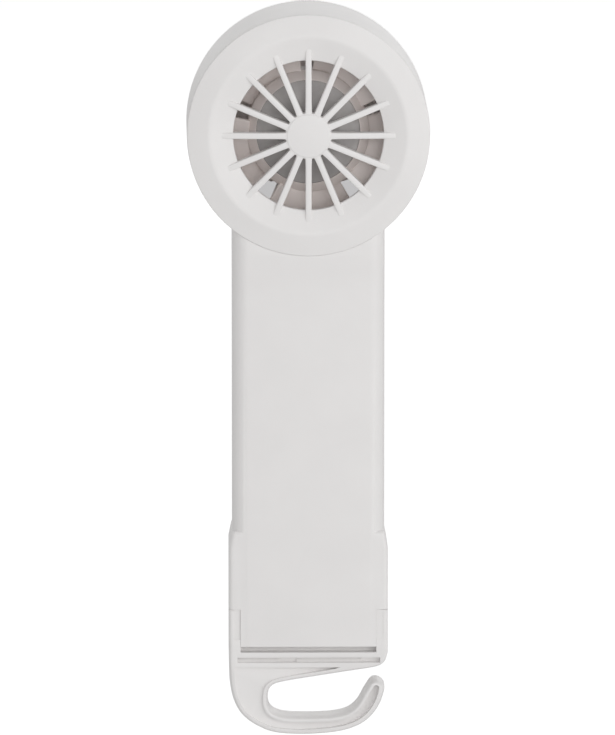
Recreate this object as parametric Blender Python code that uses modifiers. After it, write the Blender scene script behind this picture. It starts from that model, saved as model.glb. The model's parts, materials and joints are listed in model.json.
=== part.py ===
# Power bank fan: a small fan head on a flat battery handle, with a pull-off hook cap at its foot.
# Metres. +Z runs up the handle, the intake faces -Y and the outlet +Y.
import math

import bmesh
import bpy
from mathutils import Matrix, Vector

# Gaps and small distances that all pieces share
parting_gap = 0.00015
seat_gap = 0.0001
running_gap = 0.0003
overrun = 0.0004
weld_distance = 0.000001
axis_merge_distance = 0.00001

# Hook cap, from the hook's lowest point up
hook_drop = 0.0175
cap_lower_wall = 0.00095
cap_slot_height = 0.00135
cap_plate_wall = 0.0013
cap_plate_gap = 0.0015
cap_roof_wall = 0.00115
cap_slot_bottom = hook_drop + cap_lower_wall
cap_slot_top = cap_slot_bottom + cap_slot_height
cap_plate_top = cap_slot_top + cap_plate_wall
cap_roof = cap_slot_bottom - cap_roof_wall

# Handle
handle_half_width = 0.01905
handle_rear = -0.0156
handle_front = 0.0064
handle_bottom = cap_plate_top + cap_plate_gap
handle_edge_radius = 0.004
handle_wall = 0.0018
handle_inner_edge_radius = 0.0024
handle_inner_rear = handle_rear + handle_wall
handle_inner_front = handle_front - handle_wall
split_depth = -0.002
rear_sweep_rise = 0.001
front_sweep_rise = 0.0016
sweep_shares = ((0.0, 0.0), (0.25, 0.12), (0.5, 0.4), (0.75, 0.75), (1.0, 1.0))

# Notches at the handle's foot, which the hook cap's arms fill
arm_height = 0.0095
notch_depth = 0.00205
notch_ledge = 0.0018
notch_top = handle_bottom + arm_height
notch_half_width = handle_half_width - notch_depth
foot_half_width = notch_half_width - handle_wall

# Flare at the handle's foot
flare_step = 0.00085
flare_height = 0.0155
flare_run = 0.0043
flare_edge_radius = 0.001
flare_inset = 0.00005
flare_half_width = handle_half_width + flare_step
flare_full_height = notch_top + flare_height
flare_top = flare_full_height + flare_run

# Battery
battery_lift = 0.0024
battery_length = 0.05
battery_thickness = 0.01
battery_side_gap = 0.00075
battery_edge = 0.0012
pad_thickness = 0.0003
pad_margin = 0.004
stop_half_width = 0.008
stop_thickness = 0.0012
stop_reach = 0.0042
stop_gap = 0.0004
battery_half_width = handle_half_width - handle_wall - battery_side_gap
battery_bottom = notch_top + battery_lift
battery_top = battery_bottom + battery_length
battery_rear = handle_inner_rear + seat_gap + pad_thickness + seat_gap
battery_front = battery_rear + battery_thickness

# Heights of what the main board carries, from the battery's top up
led_row_lift = 0.004
connector_lift = 0.0025
inductor_lift = 0.006
button_lift = 0.016
board_top_margin = 0.008
sweep_lift = 0.0065
led_row_height = battery_top + led_row_lift
button_height = led_row_height + button_lift
board_top = button_height + board_top_margin
sweep_start = button_height + sweep_lift

# Head drum
head_gap = 0.0092
drum_radius = 0.0303
drum_wall = 0.0018
drum_rear = -0.0152
drum_front = 0.018
front_wall = 0.0018
front_lip_reach = 0.0029
front_lip_width = 0.0005
front_round_depth = 0.0045
handle_top_share = 0.4455
drum_steps = 48
head_seam_gap = 0.0001
head_height = board_top + head_gap + drum_radius
handle_top = head_height - drum_radius * handle_top_share
drum_inner_radius = drum_radius - drum_wall
drum_wall_front = drum_front - front_wall
front_lip_inner_radius = drum_inner_radius - front_lip_reach

# Air duct with its vanes and motor cup
duct_inset = 0.0033
duct_wall = 0.0012
duct_setback = 0.0022
cup_radius = 0.0115
cup_wall = 0.001
cup_floor = 0.0012
cup_length = 0.0071
vane_count = 7
vane_thickness = 0.001
vane_rear_gap = 0.0011
vane_front_gap = 0.0005
duct_outer_radius = drum_inner_radius - duct_inset
duct_inner_radius = duct_outer_radius - duct_wall
duct_rear = drum_rear + duct_setback

# Intake grille
grille_inset = 0.0003
grille_seat_gap = 0.00015
grille_slope_width = 0.0053
grille_slope_depth = 0.0011
grille_crest_depth = -0.018
grille_edge_radius = 0.0005
grille_wall = 0.0018
grille_crest_wall = 0.00216
crest_half_width = 0.0007
crest_drop = 0.0000875
intake_lip = 0.00525
dish_depth = 0.0017
skirt_wall = 0.001
skirt_length = 0.003
spoke_count = 16
spoke_width = 0.0015
spoke_reach = 0.00285
spoke_recess = 0.0002
spoke_root_radius = 0.0045
intake_hub_radius = 0.0054
intake_hub_edge = 0.0003
grille_seat = drum_rear - grille_seat_gap
grille_radius = drum_radius - grille_inset
grille_crest_radius = grille_radius - grille_slope_width
grille_rim_depth = grille_crest_depth + grille_slope_depth
intake_radius = duct_inner_radius - intake_lip
intake_edge_depth = grille_crest_depth + dish_depth
intake_lip_depth = intake_edge_depth + grille_wall
skirt_inner_radius = duct_outer_radius + running_gap
skirt_outer_radius = skirt_inner_radius + skirt_wall
skirt_depth = drum_rear + skirt_length
spoke_end_radius = intake_radius + spoke_reach
spoke_front = intake_lip_depth - spoke_recess

# Outlet grille
outlet_recess = 0.0002
outlet_thickness = 0.0026
outlet_ring_width = 0.0019
outlet_skirt_wall = 0.0008
outlet_skirt_length = 0.0026
outlet_hub_radius = 0.0105
outlet_bar_width = 0.0014
outlet_bar_recess = 0.0002
outlet_edge = 0.0005
duct_front_gap = 0.001
outlet_face = drum_front - outlet_recess
outlet_back = outlet_face - outlet_thickness
outlet_radius = front_lip_inner_radius - running_gap
outlet_ring_inner_radius = outlet_radius - outlet_ring_width
outlet_skirt_outer_radius = duct_inner_radius - running_gap
outlet_skirt_rear = outlet_back - outlet_skirt_length
middle_ring_radius = (outlet_hub_radius + outlet_ring_inner_radius) / 2
duct_front = outlet_back - duct_front_gap

# Lugs that hold the duct, their bosses and screws
lug_angles = (90, 210, 330)
lug_offset = 0.0016
lug_radius = 0.0015
lug_web_width = 0.0024
lug_setback = 0.0052
lug_thickness = 0.0015
boss_gap = 0.0002
boss_radius = 0.0013
boss_bore_radius = 0.00085
boss_end_wall = 0.0014
duct_screw_head_radius = 0.00135
duct_screw_head_height = 0.0011
duct_screw_shaft_radius = 0.0007
duct_screw_end_gap = 0.0005
screw_crown_height_share = 0.6
screw_crown_width_share = 0.7
lug_centre_radius = duct_outer_radius + lug_offset
lug_rear = duct_front - lug_setback
boss_bore_end = drum_wall_front - boss_end_wall
duct_screw_end = boss_bore_end - duct_screw_end_gap

# Rotor of the motor
can_radius = 0.013
can_rear = -0.009
can_front = 0.001
can_wall = 0.0009
can_end_wall = 0.0008
can_edge = 0.0006
magnet_thickness = 0.001
magnet_rear_gap = 0.0006
magnet_inset = 0.0003
shaft_radius = 0.001
shaft_fit = 0.00005
shaft_rear_inset = 0.0001
shaft_length = 0.0134
can_inner_radius = can_radius - can_wall
magnet_outer_radius = can_inner_radius - seat_gap
magnet_inner_radius = magnet_outer_radius - magnet_thickness
shaft_rear = can_rear + shaft_rear_inset
shaft_front = shaft_rear + shaft_length

# Bearings, stator and motor board
bearing_fit = 0.00008
bearing_thickness = 0.00145
bearing_width = 0.0023
rear_bearing_inset = 0.0003
tube_wall = 0.00065
tube_overhang = 0.001
air_gap = 0.0006
core_rear_gap = 0.0045
core_front_gap = 0.0015
shoe_depth = 0.0011
yoke_wall = 0.0017
tooth_count = 9
tooth_half_width = 0.0007
shoe_half_angle = 15
coil_root_gap = 0.0006
coil_shoe_gap = 0.0004
coil_thickness = 0.0009
coil_gap = 0.00015
coil_overhang = 0.0014
coil_ring_inset = 0.0004
coil_ring_width = 0.0015
coil_ring_height = 0.0006
motor_board_lift = 0.0016
motor_board_thickness = 0.001
motor_board_inset = 0.0006
bearing_outer_radius = shaft_radius + bearing_thickness
tube_inner_radius = bearing_outer_radius + seat_gap
tube_outer_radius = tube_inner_radius + tube_wall
core_radius = magnet_inner_radius - air_gap
core_shoe_radius = core_radius - shoe_depth
core_bore_radius = tube_outer_radius + seat_gap
core_yoke_radius = core_bore_radius + yoke_wall
core_rear = can_rear + core_rear_gap
core_front = can_front - core_front_gap
tube_rear = core_rear - tube_overhang
coil_inner_radius = core_yoke_radius + coil_root_gap
coil_outer_radius = core_shoe_radius - coil_shoe_gap
coil_ring_inner_radius = coil_inner_radius + coil_ring_inset
coil_ring_outer_radius = coil_ring_inner_radius + coil_ring_width
motor_board_rear = can_front + motor_board_lift
motor_board_front = motor_board_rear + motor_board_thickness
motor_board_radius = cup_radius - motor_board_inset
motor_board_bore_radius = tube_outer_radius + running_gap
cup_rear = motor_board_front + running_gap
cup_front = cup_rear + cup_length
vane_rear = cup_rear + vane_rear_gap
vane_front = cup_front - vane_front_gap
tube_front = cup_rear + tube_overhang
rear_bearing_depth = tube_rear + rear_bearing_inset
front_bearing_depth = can_front

# Slots for the motor's wires
wire_slot_half_width = 0.0022
wire_slot_half_height = 0.0011
wire_slot_drop = 0.006
duct_wire_gap = 0.0012
wire_slot_height = head_height - wire_slot_drop
duct_wire_depth = cup_front + duct_wire_gap

# Impeller
hub_wall = 0.0023
hub_rear_overhang = 0.0004
hub_front_overhang = 0.0005
hub_edge = 0.0014
hub_edge_share = 0.3
blade_count = 5
blade_tip_gap = 0.0009
blade_root_depth = 0.0006
blade_span_angle = 58
blade_depth = -0.0035
blade_rise = 0.0062
blade_thickness = 0.001
blade_start_angle = -46
hub_inner_radius = can_radius + parting_gap
hub_outer_radius = can_radius + hub_wall
hub_rear = can_rear - hub_rear_overhang
hub_front = can_front + hub_front_overhang
blade_tip_radius = duct_inner_radius - blade_tip_gap
blade_root_radius = hub_outer_radius - blade_root_depth

# Main board and what it carries
board_side_gap = 0.0022
board_setback = 0.0048
board_thickness = 0.001
board_foot_gap = 0.002
board_screw_margin = 0.0027
lower_screw_lift = 0.004
upper_screw_drop = 0.011
board_boss_radius = 0.0022
board_boss_bore_radius = 0.00095
board_boss_gap = 0.00015
board_boss_end_wall = 0.0008
board_hole_radius = 0.0011
board_screw_head_radius = 0.0016
board_screw_head_height = 0.0012
board_screw_shaft_radius = 0.0008
board_screw_end_gap = 0.0005
socket_inset = 0.0002
socket_half_width = 0.00447
socket_half_thickness = 0.0016
socket_length = 0.0073
socket_wall = 0.0003
socket_back_wall = 0.0008
socket_tongue_half_width = 0.0033
socket_tongue_half_thickness = 0.00035
socket_tongue_inset = 0.001
port_gap = 0.0003
switch_half_size = 0.0025
switch_height = 0.0015
plunger_radius = 0.0012
plunger_reach = 0.0005
inductor_radius = 0.0032
inductor_height = 0.0028
inductor_margin = 0.008
controller_half_size = 0.0025
controller_margin = 0.009
controller_drop = 0.012
charge_chip_half_size = 0.002
charge_chip_margin = 0.009
charge_chip_drop = 0.026
chip_height = 0.0009
led_count = 4
led_pitch = 0.003
led_half_size = 0.0006
led_height = 0.0006
connector_half_width = 0.003
connector_half_height = 0.002
connector_depth = 0.0031
connector_margin = 0.0065
board_half_width = foot_half_width - board_side_gap
board_screw_across = board_half_width - board_screw_margin
board_rear = handle_inner_front - board_setback
board_front = board_rear + board_thickness
board_boss_bore_end = handle_inner_front - board_boss_end_wall
board_screw_end = board_boss_bore_end - board_screw_end_gap
board_screw_heights = (battery_bottom + lower_screw_lift, board_top - upper_screw_drop)
socket_bottom = handle_bottom + socket_inset
socket_depth = board_rear - seat_gap - socket_half_thickness
board_bottom = socket_bottom + board_foot_gap
inductor_place = (board_half_width - inductor_margin, led_row_height + inductor_lift)
controller_place = (controller_margin - board_half_width, battery_top - controller_drop)
charge_chip_place = (board_half_width - charge_chip_margin, battery_top - charge_chip_drop)
connector_place = (connector_margin - board_half_width, led_row_height + connector_lift)

# Light pipe and button in the front wall
pipe_margin = 0.00085
pipe_half_height = 0.0008
pipe_flange = 0.001
pipe_flange_thickness = 0.0012
pipe_light_gap = 0.0004
button_radius = 0.0055
button_gap = 0.00025
button_proud = 0.0006
button_edge = 0.0005
button_flange = 0.0011
button_flange_thickness = 0.0007
button_flange_gap = 0.0003
button_stem_radius = 0.0014
button_stem_height = 0.00015
pipe_half_width = led_pitch * (led_count - 1) / 2 + led_half_size + pipe_margin

# Wires
battery_wire_radius = 0.0006
battery_wire_across = 0.0011
motor_wire_radius = 0.00045
motor_wire_across = 0.0011
motor_wire_tail = 0.003
wire_points = 13
wire_window_half_width = 0.004
wire_window_rear_gap = 0.0006

# Hook cap
cap_rear_inset = 0.0002
cap_slot_left_wall = 0.0032
cap_slot_right_wall = 0.0019
cap_core_depth = 0.0013
cap_arm_gap = 0.0003
cap_edge_radius = 0.0008
cap_window_left = -0.0072
cap_window_right = -0.003
cap_window_depth = 0.0012
arm_pocket_depth = 0.0004
arm_pocket_floor = 0.0018
arm_outer_wall = 0.00115
hook_inset = 0.0004
hook_outer_wall = 0.0014
hook_inner_wall = 0.00125
hook_depth = 0.0084
hook_core_depth = 0.0022
tongue_inset = 0.0021
hook_taper_drop = 0.0015
cap_rear = handle_rear + cap_rear_inset
cap_arm_inner = notch_half_width + cap_arm_gap
arm_pocket_bottom = handle_bottom + arm_pocket_floor
hook_reach = flare_half_width - hook_inset
hook_front = cap_rear + hook_depth
hook_taper_bottom = cap_roof - hook_taper_drop
hook_taper_top = cap_slot_top - seat_gap
hook_outer_shares = (
    (-1.02, 0.943),
    (-1.018, 0.856),
    (-1.012, 0.768),
    (-1.001, 0.681),
    (-0.986, 0.593),
    (-0.962, 0.505),
    (-0.929, 0.418),
    (-0.882, 0.33),
    (-0.811, 0.242),
    (-0.704, 0.154),
    (-0.567, 0.075),
    (-0.464, 0.037),
    (-0.361, 0.016),
    (-0.257, 0.006),
    (-0.154, 0.001),
    (-0.051, 0.0),
    (0.052, 0.003),
    (0.155, 0.01),
    (0.258, 0.02),
    (0.361, 0.035),
    (0.464, 0.058),
    (0.567, 0.093),
    (0.682, 0.152),
    (0.781, 0.235),
    (0.853, 0.324),
    (0.904, 0.412),
    (0.94, 0.499),
    (0.965, 0.587),
    (0.98, 0.66),
)
hook_tip_shares = (
    (0.977, 0.7),
    (0.953, 0.744),
    (0.92, 0.77),
    (0.878, 0.785),
    (0.836, 0.782),
    (0.804, 0.762),
)
hook_inner_shares = (
    (0.781, 0.732),
    (0.752, 0.684),
    (0.726, 0.637),
    (0.703, 0.593),
    (0.684, 0.549),
    (0.662, 0.506),
    (0.637, 0.462),
    (0.6, 0.412),
    (0.548, 0.362),
    (0.484, 0.323),
    (0.405, 0.296),
    (0.31, 0.278),
    (0.206, 0.268),
    (0.051, 0.262),
    (-0.104, 0.262),
    (-0.24, 0.267),
    (-0.336, 0.281),
    (-0.41, 0.307),
    (-0.462, 0.341),
    (-0.494, 0.381),
    (-0.513, 0.427),
    (-0.521, 0.49),
    (-0.523, 0.56),
    (-0.516, 0.62),
    (-0.5, 0.671),
    (-0.468, 0.712),
    (-0.418, 0.741),
    (-0.35, 0.762),
    (-0.264, 0.781),
    (-0.161, 0.801),
    (-0.058, 0.82),
    (0.148, 0.857),
    (0.354, 0.894),
    (0.56, 0.93),
    (0.766, 0.965),
    (0.869, 0.988),
)
hook_corner_shares = (
    (0.92, 1.01),
    (0.962, 1.045),
    (0.992, 1.093),
    (1.008, 1.15),
)

for old in list(bpy.data.objects):
    bpy.data.objects.remove(old, do_unlink=True)

fan = bpy.data.collections.new("power_bank_fan")
cutters = bpy.data.collections.new("cutters")
bpy.context.scene.collection.children.link(fan)
bpy.context.scene.collection.children.link(cutters)


# Shapes


def new_shape(name, mesh, matrix=Matrix()):
    # A shape starts as a hidden helper; finish turns it into a part.
    shape = bpy.data.objects.new(name, mesh)
    shape.matrix_world = matrix
    shape.hide_render = True
    shape.display_type = "WIRE"
    cutters.objects.link(shape)
    return shape


def mesh_from(name, work):
    mesh = bpy.data.meshes.new(name)
    bmesh.ops.recalc_face_normals(work, faces=work.faces)
    work.to_mesh(mesh)
    work.free()
    return mesh


def box(name, low, high):
    low, high = Vector(low), Vector(high)
    work = bmesh.new()
    bmesh.ops.create_cube(work, size=1)
    bmesh.ops.scale(work, vec=high - low, verts=work.verts)
    return new_shape(name, mesh_from(name, work), Matrix.Translation((low + high) / 2))


def rod(name, radius, rear, front, across=0.0, height=0.0, steps=24):
    # A cylinder that runs from rear to front along Y.
    work = bmesh.new()
    bmesh.ops.create_cone(
        work,
        cap_ends=True,
        segments=steps,
        radius1=radius,
        radius2=radius,
        depth=front - rear,
        matrix=Matrix.Rotation(math.radians(90), 4, "X"),
    )
    place = Matrix.Translation((across, (rear + front) / 2, height))
    return new_shape(name, mesh_from(name, work), place)


def turned(name, profile, across=0.0, height=head_height, steps=48, closed=True):
    # The profile holds (radius, depth) and is turned about an axis along Y.
    mesh = bpy.data.meshes.new(name)
    points = [(radius, 0, depth) for radius, depth in profile]
    edges = [(i, i + 1) for i in range(len(points) - 1)]
    if closed:
        edges.append((len(points) - 1, 0))
    mesh.from_pydata(points, edges, [])
    place = Matrix.Translation((across, 0, height)) @ Matrix.Rotation(math.radians(-90), 4, "X")
    shape = new_shape(name, mesh, place)
    screw = shape.modifiers.new("turn", "SCREW")
    screw.steps = steps
    screw.render_steps = steps
    screw.use_merge_vertices = True
    screw.merge_threshold = axis_merge_distance
    return shape


def ring(name, inner_radius, outer_radius, rear, front, steps=48):
    profile = (
        (outer_radius, front),
        (outer_radius, rear),
        (inner_radius, rear),
        (inner_radius, front),
    )
    return turned(name, profile, steps=steps)


planes = {
    "front": Matrix(((1, 0, 0, 0), (0, 0, -1, 0), (0, 1, 0, 0), (0, 0, 0, 1))),
    "side": Matrix(((0, 0, 1, 0), (1, 0, 0, 0), (0, 1, 0, 0), (0, 0, 0, 1))),
    "top": Matrix(),
}
plane_axes = {"front": Vector((0, 1, 0)), "side": Vector((1, 0, 0)), "top": Vector((0, 0, 1))}


def outline(name, points, low, high, plane):
    # A flat outline made solid from low to high along the plane's own axis.
    curve = bpy.data.curves.new(name, "CURVE")
    curve.dimensions = "2D"
    curve.fill_mode = "BOTH"
    curve.extrude = (high - low) / 2
    spline = curve.splines.new("POLY")
    spline.points.add(len(points) - 1)
    for point, (across, up) in zip(spline.points, points):
        point.co = (across, up, 0, 1)
    spline.use_cyclic_u = True
    drawn = bpy.data.objects.new(name + "_outline", curve)
    drawn.matrix_world = Matrix.Translation(plane_axes[plane] * (low + high) / 2) @ planes[plane]
    return mesh_of_curve(name, drawn)


def mesh_of_curve(name, drawn):
    # A curve takes no Boolean, so it becomes a mesh with its caps welded on.
    cutters.objects.link(drawn)
    bpy.context.view_layer.update()
    graph = bpy.context.evaluated_depsgraph_get()
    mesh = bpy.data.meshes.new_from_object(drawn.evaluated_get(graph))
    work = bmesh.new()
    work.from_mesh(mesh)
    bmesh.ops.remove_doubles(work, verts=work.verts, dist=weld_distance)
    bmesh.ops.dissolve_limit(
        work, angle_limit=math.radians(0.5), verts=work.verts, edges=work.edges
    )
    bmesh.ops.recalc_face_normals(work, faces=work.faces)
    work.to_mesh(mesh)
    work.free()
    mesh.materials.clear()
    shape = new_shape(name, mesh, drawn.matrix_world.copy())
    bpy.data.objects.remove(drawn, do_unlink=True)
    return shape


def combine(target, other, operation):
    step = target.modifiers.new(other.name, "BOOLEAN")
    step.operation = operation
    step.solver = "EXACT"
    step.object = other


def cut(target, *others):
    for other in others:
        combine(target, other, "DIFFERENCE")


def add(target, *others):
    for other in others:
        combine(target, other, "UNION")


def soften(shape, width, segments=2, angle=50):
    bevel = shape.modifiers.new("edges", "BEVEL")
    bevel.width = width
    bevel.segments = segments
    bevel.limit_method = "ANGLE"
    bevel.angle_limit = math.radians(angle)


def solid_copy(name, shape):
    # The shape as its modifiers leave it, as a mesh of its own.
    bpy.context.view_layer.update()
    graph = bpy.context.evaluated_depsgraph_get()
    mesh = bpy.data.meshes.new_from_object(shape.evaluated_get(graph))
    return new_shape(name, mesh, shape.matrix_world.copy())


def joined(name, shapes):
    # Shapes that don't touch each other, gathered in one helper.
    work = bmesh.new()
    for shape in shapes:
        copy = solid_copy(shape.name + "_copy", shape)
        copy.data.transform(copy.matrix_world)
        work.from_mesh(copy.data)
        bpy.data.objects.remove(copy, do_unlink=True)
        bpy.data.objects.remove(shape, do_unlink=True)
    return new_shape(name, mesh_from(name, work))


def turned_about_head(shape, degrees):
    centre = Matrix.Translation((0, 0, head_height))
    turn = Matrix.Rotation(math.radians(degrees), 4, "Y")
    shape.matrix_world = centre @ turn @ centre.inverted() @ shape.matrix_world
    return shape


def around_head(radius, degrees):
    # Across and height of a point on a circle round the head's axis.
    turn = math.radians(degrees)
    return radius * math.cos(turn), head_height + radius * math.sin(turn)


def offset_path(path, distance):
    # The path moved sideways, to the left of its direction.
    moved = []
    for i, (across, up) in enumerate(path):
        before = Vector(path[max(i - 1, 0)])
        after = Vector(path[min(i + 1, len(path) - 1)])
        along = (after - before).normalized()
        moved.append((across - along.y * distance, up + along.x * distance))
    return moved


def smooth_route(stops, count):
    # Points spread along a soft curve through the stops.
    stops = [Vector(stop) for stop in stops]
    stops = [2 * stops[0] - stops[1]] + stops + [2 * stops[-1] - stops[-2]]
    spans = len(stops) - 3
    route = []
    for i in range(count):
        place = i * spans / (count - 1)
        first = min(int(place), spans - 1)
        t = place - first
        a, b, c, d = stops[first : first + 4]
        route.append(
            (2 * b + (c - a) * t + (2 * a - 5 * b + 4 * c - d) * t**2 + (3 * b - 3 * c + d - a) * t**3)
            / 2
        )
    return route


def wire(name, radius, stops, material):
    curve = bpy.data.curves.new(name, "CURVE")
    curve.dimensions = "3D"
    curve.bevel_depth = radius
    curve.bevel_resolution = 2
    curve.use_fill_caps = True
    route = smooth_route(stops, wire_points)
    spline = curve.splines.new("POLY")
    spline.points.add(len(route) - 1)
    for point, stop in zip(spline.points, route):
        point.co = (*stop, 1)
    finish(mesh_of_curve(name, bpy.data.objects.new(name + "_route", curve)), material)


def finish(shape, material, parent=None):
    # Makes a helper one of the fan's parts.
    cutters.objects.unlink(shape)
    fan.objects.link(shape)
    shape.hide_render = False
    shape.display_type = "TEXTURED"
    shape.data.materials.clear()
    shape.data.materials.append(material)
    shape.data.shade_smooth()
    shape.data.set_sharp_from_angle(angle=math.radians(30))
    if parent:
        bpy.context.view_layer.update()
        shape.parent = parent
        shape.matrix_parent_inverse = parent.matrix_world.inverted()
    return shape


def new_material(name, colour, roughness, metallic=0.0):
    material = bpy.data.materials.new(name)
    material.use_nodes = True
    surface = material.node_tree.nodes["Principled BSDF"]
    surface.inputs["Base Color"].default_value = (*colour, 1)
    surface.inputs["Roughness"].default_value = roughness
    surface.inputs["Metallic"].default_value = metallic
    material.diffuse_color = (*colour, 1)
    return material


def new_axis(name, place):
    empty = bpy.data.objects.new(name, None)
    empty.location = place
    fan.objects.link(empty)
    bpy.context.view_layer.update()
    return empty


white_plastic = new_material("white_plastic", (0.76, 0.75, 0.75), 0.45)
inner_plastic = new_material("inner_plastic", (0.62, 0.6, 0.59), 0.5)
blade_plastic = new_material("blade_plastic", (0.5, 0.46, 0.44), 0.45)
dark_steel = new_material("dark_steel", (0.13, 0.13, 0.125), 0.4, 0.8)
bright_steel = new_material("bright_steel", (0.6, 0.6, 0.6), 0.3, 1.0)
brass = new_material("brass", (0.7, 0.52, 0.25), 0.35, 1.0)
magnet = new_material("magnet", (0.08, 0.08, 0.08), 0.7)
lamination = new_material("lamination", (0.35, 0.36, 0.38), 0.45, 0.9)
enamelled_copper = new_material("enamelled_copper", (0.55, 0.22, 0.08), 0.35, 0.9)
circuit_board = new_material("circuit_board", (0.03, 0.16, 0.07), 0.5)
black_plastic = new_material("black_plastic", (0.03, 0.03, 0.03), 0.5)
ferrite = new_material("ferrite", (0.1, 0.1, 0.105), 0.6)
pouch_foil = new_material("pouch_foil", (0.55, 0.56, 0.58), 0.3, 0.9)
foam = new_material("foam", (0.1, 0.1, 0.1), 0.9)
clear_plastic = new_material("clear_plastic", (0.8, 0.82, 0.84), 0.2)
red_insulation = new_material("red_insulation", (0.5, 0.03, 0.02), 0.5)
black_insulation = new_material("black_insulation", (0.02, 0.02, 0.02), 0.5)


# Housing


def handle_side(inset, bottom):
    # The handle seen from the side, drawn in by the inset, with its sweep up to the head.
    rear = handle_rear + inset
    front = handle_front - inset
    rise = head_height - grille_radius - sweep_start
    points = [(front, bottom)]
    for along, out in sweep_shares:
        points.append((front + out * front_sweep_rise, sweep_start + along * rise))
    points.append((front + front_sweep_rise, handle_top))
    points.append((rear - rear_sweep_rise, handle_top))
    for along, out in reversed(sweep_shares):
        points.append((rear - out * rear_sweep_rise, sweep_start + along * rise))
    points.append((rear, bottom))
    return points


def drum_profile():
    # The head's wall, with its front edge rounded as a quarter of an ellipse and a lip inside it.
    round_start = drum_front - front_round_depth
    round_radius = front_lip_inner_radius + front_lip_width
    points = [(front_lip_inner_radius, drum_front), (round_radius, drum_front)]
    steps = 6
    for i in range(1, steps + 1):
        turn = math.radians(90) * i / steps
        radius = round_radius + (drum_radius - round_radius) * math.sin(turn)
        points.append((radius, round_start + front_round_depth * math.cos(turn)))
    points.append((drum_radius, drum_rear))
    points.append((drum_inner_radius, drum_rear))
    points.append((drum_inner_radius, drum_wall_front))
    points.append((front_lip_inner_radius, drum_wall_front))
    return points


def handle():
    # The handle with its flare, hollow and notched, before it is split into two shells.
    below = handle_bottom - handle_edge_radius * 2
    far = drum_radius * 2
    body = outline(
        "handle",
        handle_side(0, below),
        -handle_half_width,
        handle_half_width,
        "side",
    )
    soften(body, handle_edge_radius, segments=4)
    flare = outline(
        "flare",
        (
            (-handle_half_width, flare_top),
            (-flare_half_width, flare_full_height),
            (-flare_half_width, below),
            (flare_half_width, below),
            (flare_half_width, flare_full_height),
            (handle_half_width, flare_top),
        ),
        handle_rear + flare_inset,
        handle_front - flare_inset,
        "front",
    )
    soften(flare, flare_edge_radius, angle=70)
    floor = box("below_handle", (-far, -far, -far), (far, far, handle_bottom))
    notches = [
        box(name, (min(near, out), -far, -far), (max(near, out), far, notch_top))
        for name, near, out in (
            ("left_notch", -notch_half_width, -far),
            ("right_notch", notch_half_width, far),
        )
    ]
    add(body, flare)
    cut(body, *handle_hollows(), floor, *notches, port_hole())
    return solid_copy("handle_whole", body)


def handle_hollows():
    # The chest holds the battery and boards; the foot is narrower, between the notches.
    inner_half_width = handle_half_width - handle_wall
    chest = outline(
        "handle_hollow",
        handle_side(handle_wall, notch_top + notch_ledge),
        -inner_half_width,
        inner_half_width,
        "side",
    )
    soften(chest, handle_inner_edge_radius, segments=2)
    foot = box(
        "foot_hollow",
        (-foot_half_width, handle_inner_rear, handle_bottom + handle_wall),
        (foot_half_width, handle_inner_front, notch_top + notch_ledge + handle_inner_edge_radius * 2),
    )
    return chest, foot


def port_hole():
    half_width = socket_half_width + port_gap
    half_depth = socket_half_thickness + port_gap
    return box(
        "port_hole",
        (-half_width, socket_depth - half_depth, handle_bottom - overrun),
        (half_width, socket_depth + half_depth, handle_bottom + handle_wall + overrun),
    )


def half_space(name, front):
    far = head_height * 2
    edge = split_depth + parting_gap / 2 if front else split_depth - parting_gap / 2
    if front:
        return box(name, (-far, edge, -far), (far, far, far))
    return box(name, (-far, -far, -far), (far, edge, far))


def board_places():
    return [(side * board_screw_across, height) for height in board_screw_heights for side in (-1, 1)]


def lug_places():
    return [around_head(lug_centre_radius, angle) for angle in lug_angles]


def head_hole(radius):
    far = drum_radius * 2
    return rod("head_hole", radius, -far, far, height=head_height, steps=drum_steps)


def rear_shell(whole):
    shell = solid_copy("rear_shell", whole)
    combine(shell, half_space("rear_half", False), "INTERSECT")
    cut(shell, head_hole(drum_radius + head_seam_gap))
    stops = []
    lower = battery_bottom - stop_gap
    upper = battery_top + stop_gap
    for name, low, high in (
        ("lower_stop", lower - stop_thickness, lower),
        ("upper_stop", upper, upper + stop_thickness),
    ):
        stops.append(
            box(
                name,
                (-stop_half_width, handle_inner_rear - overrun, low),
                (stop_half_width, handle_inner_rear + stop_reach, high),
            )
        )
    add(shell, *stops)
    finish(shell, white_plastic)


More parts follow.
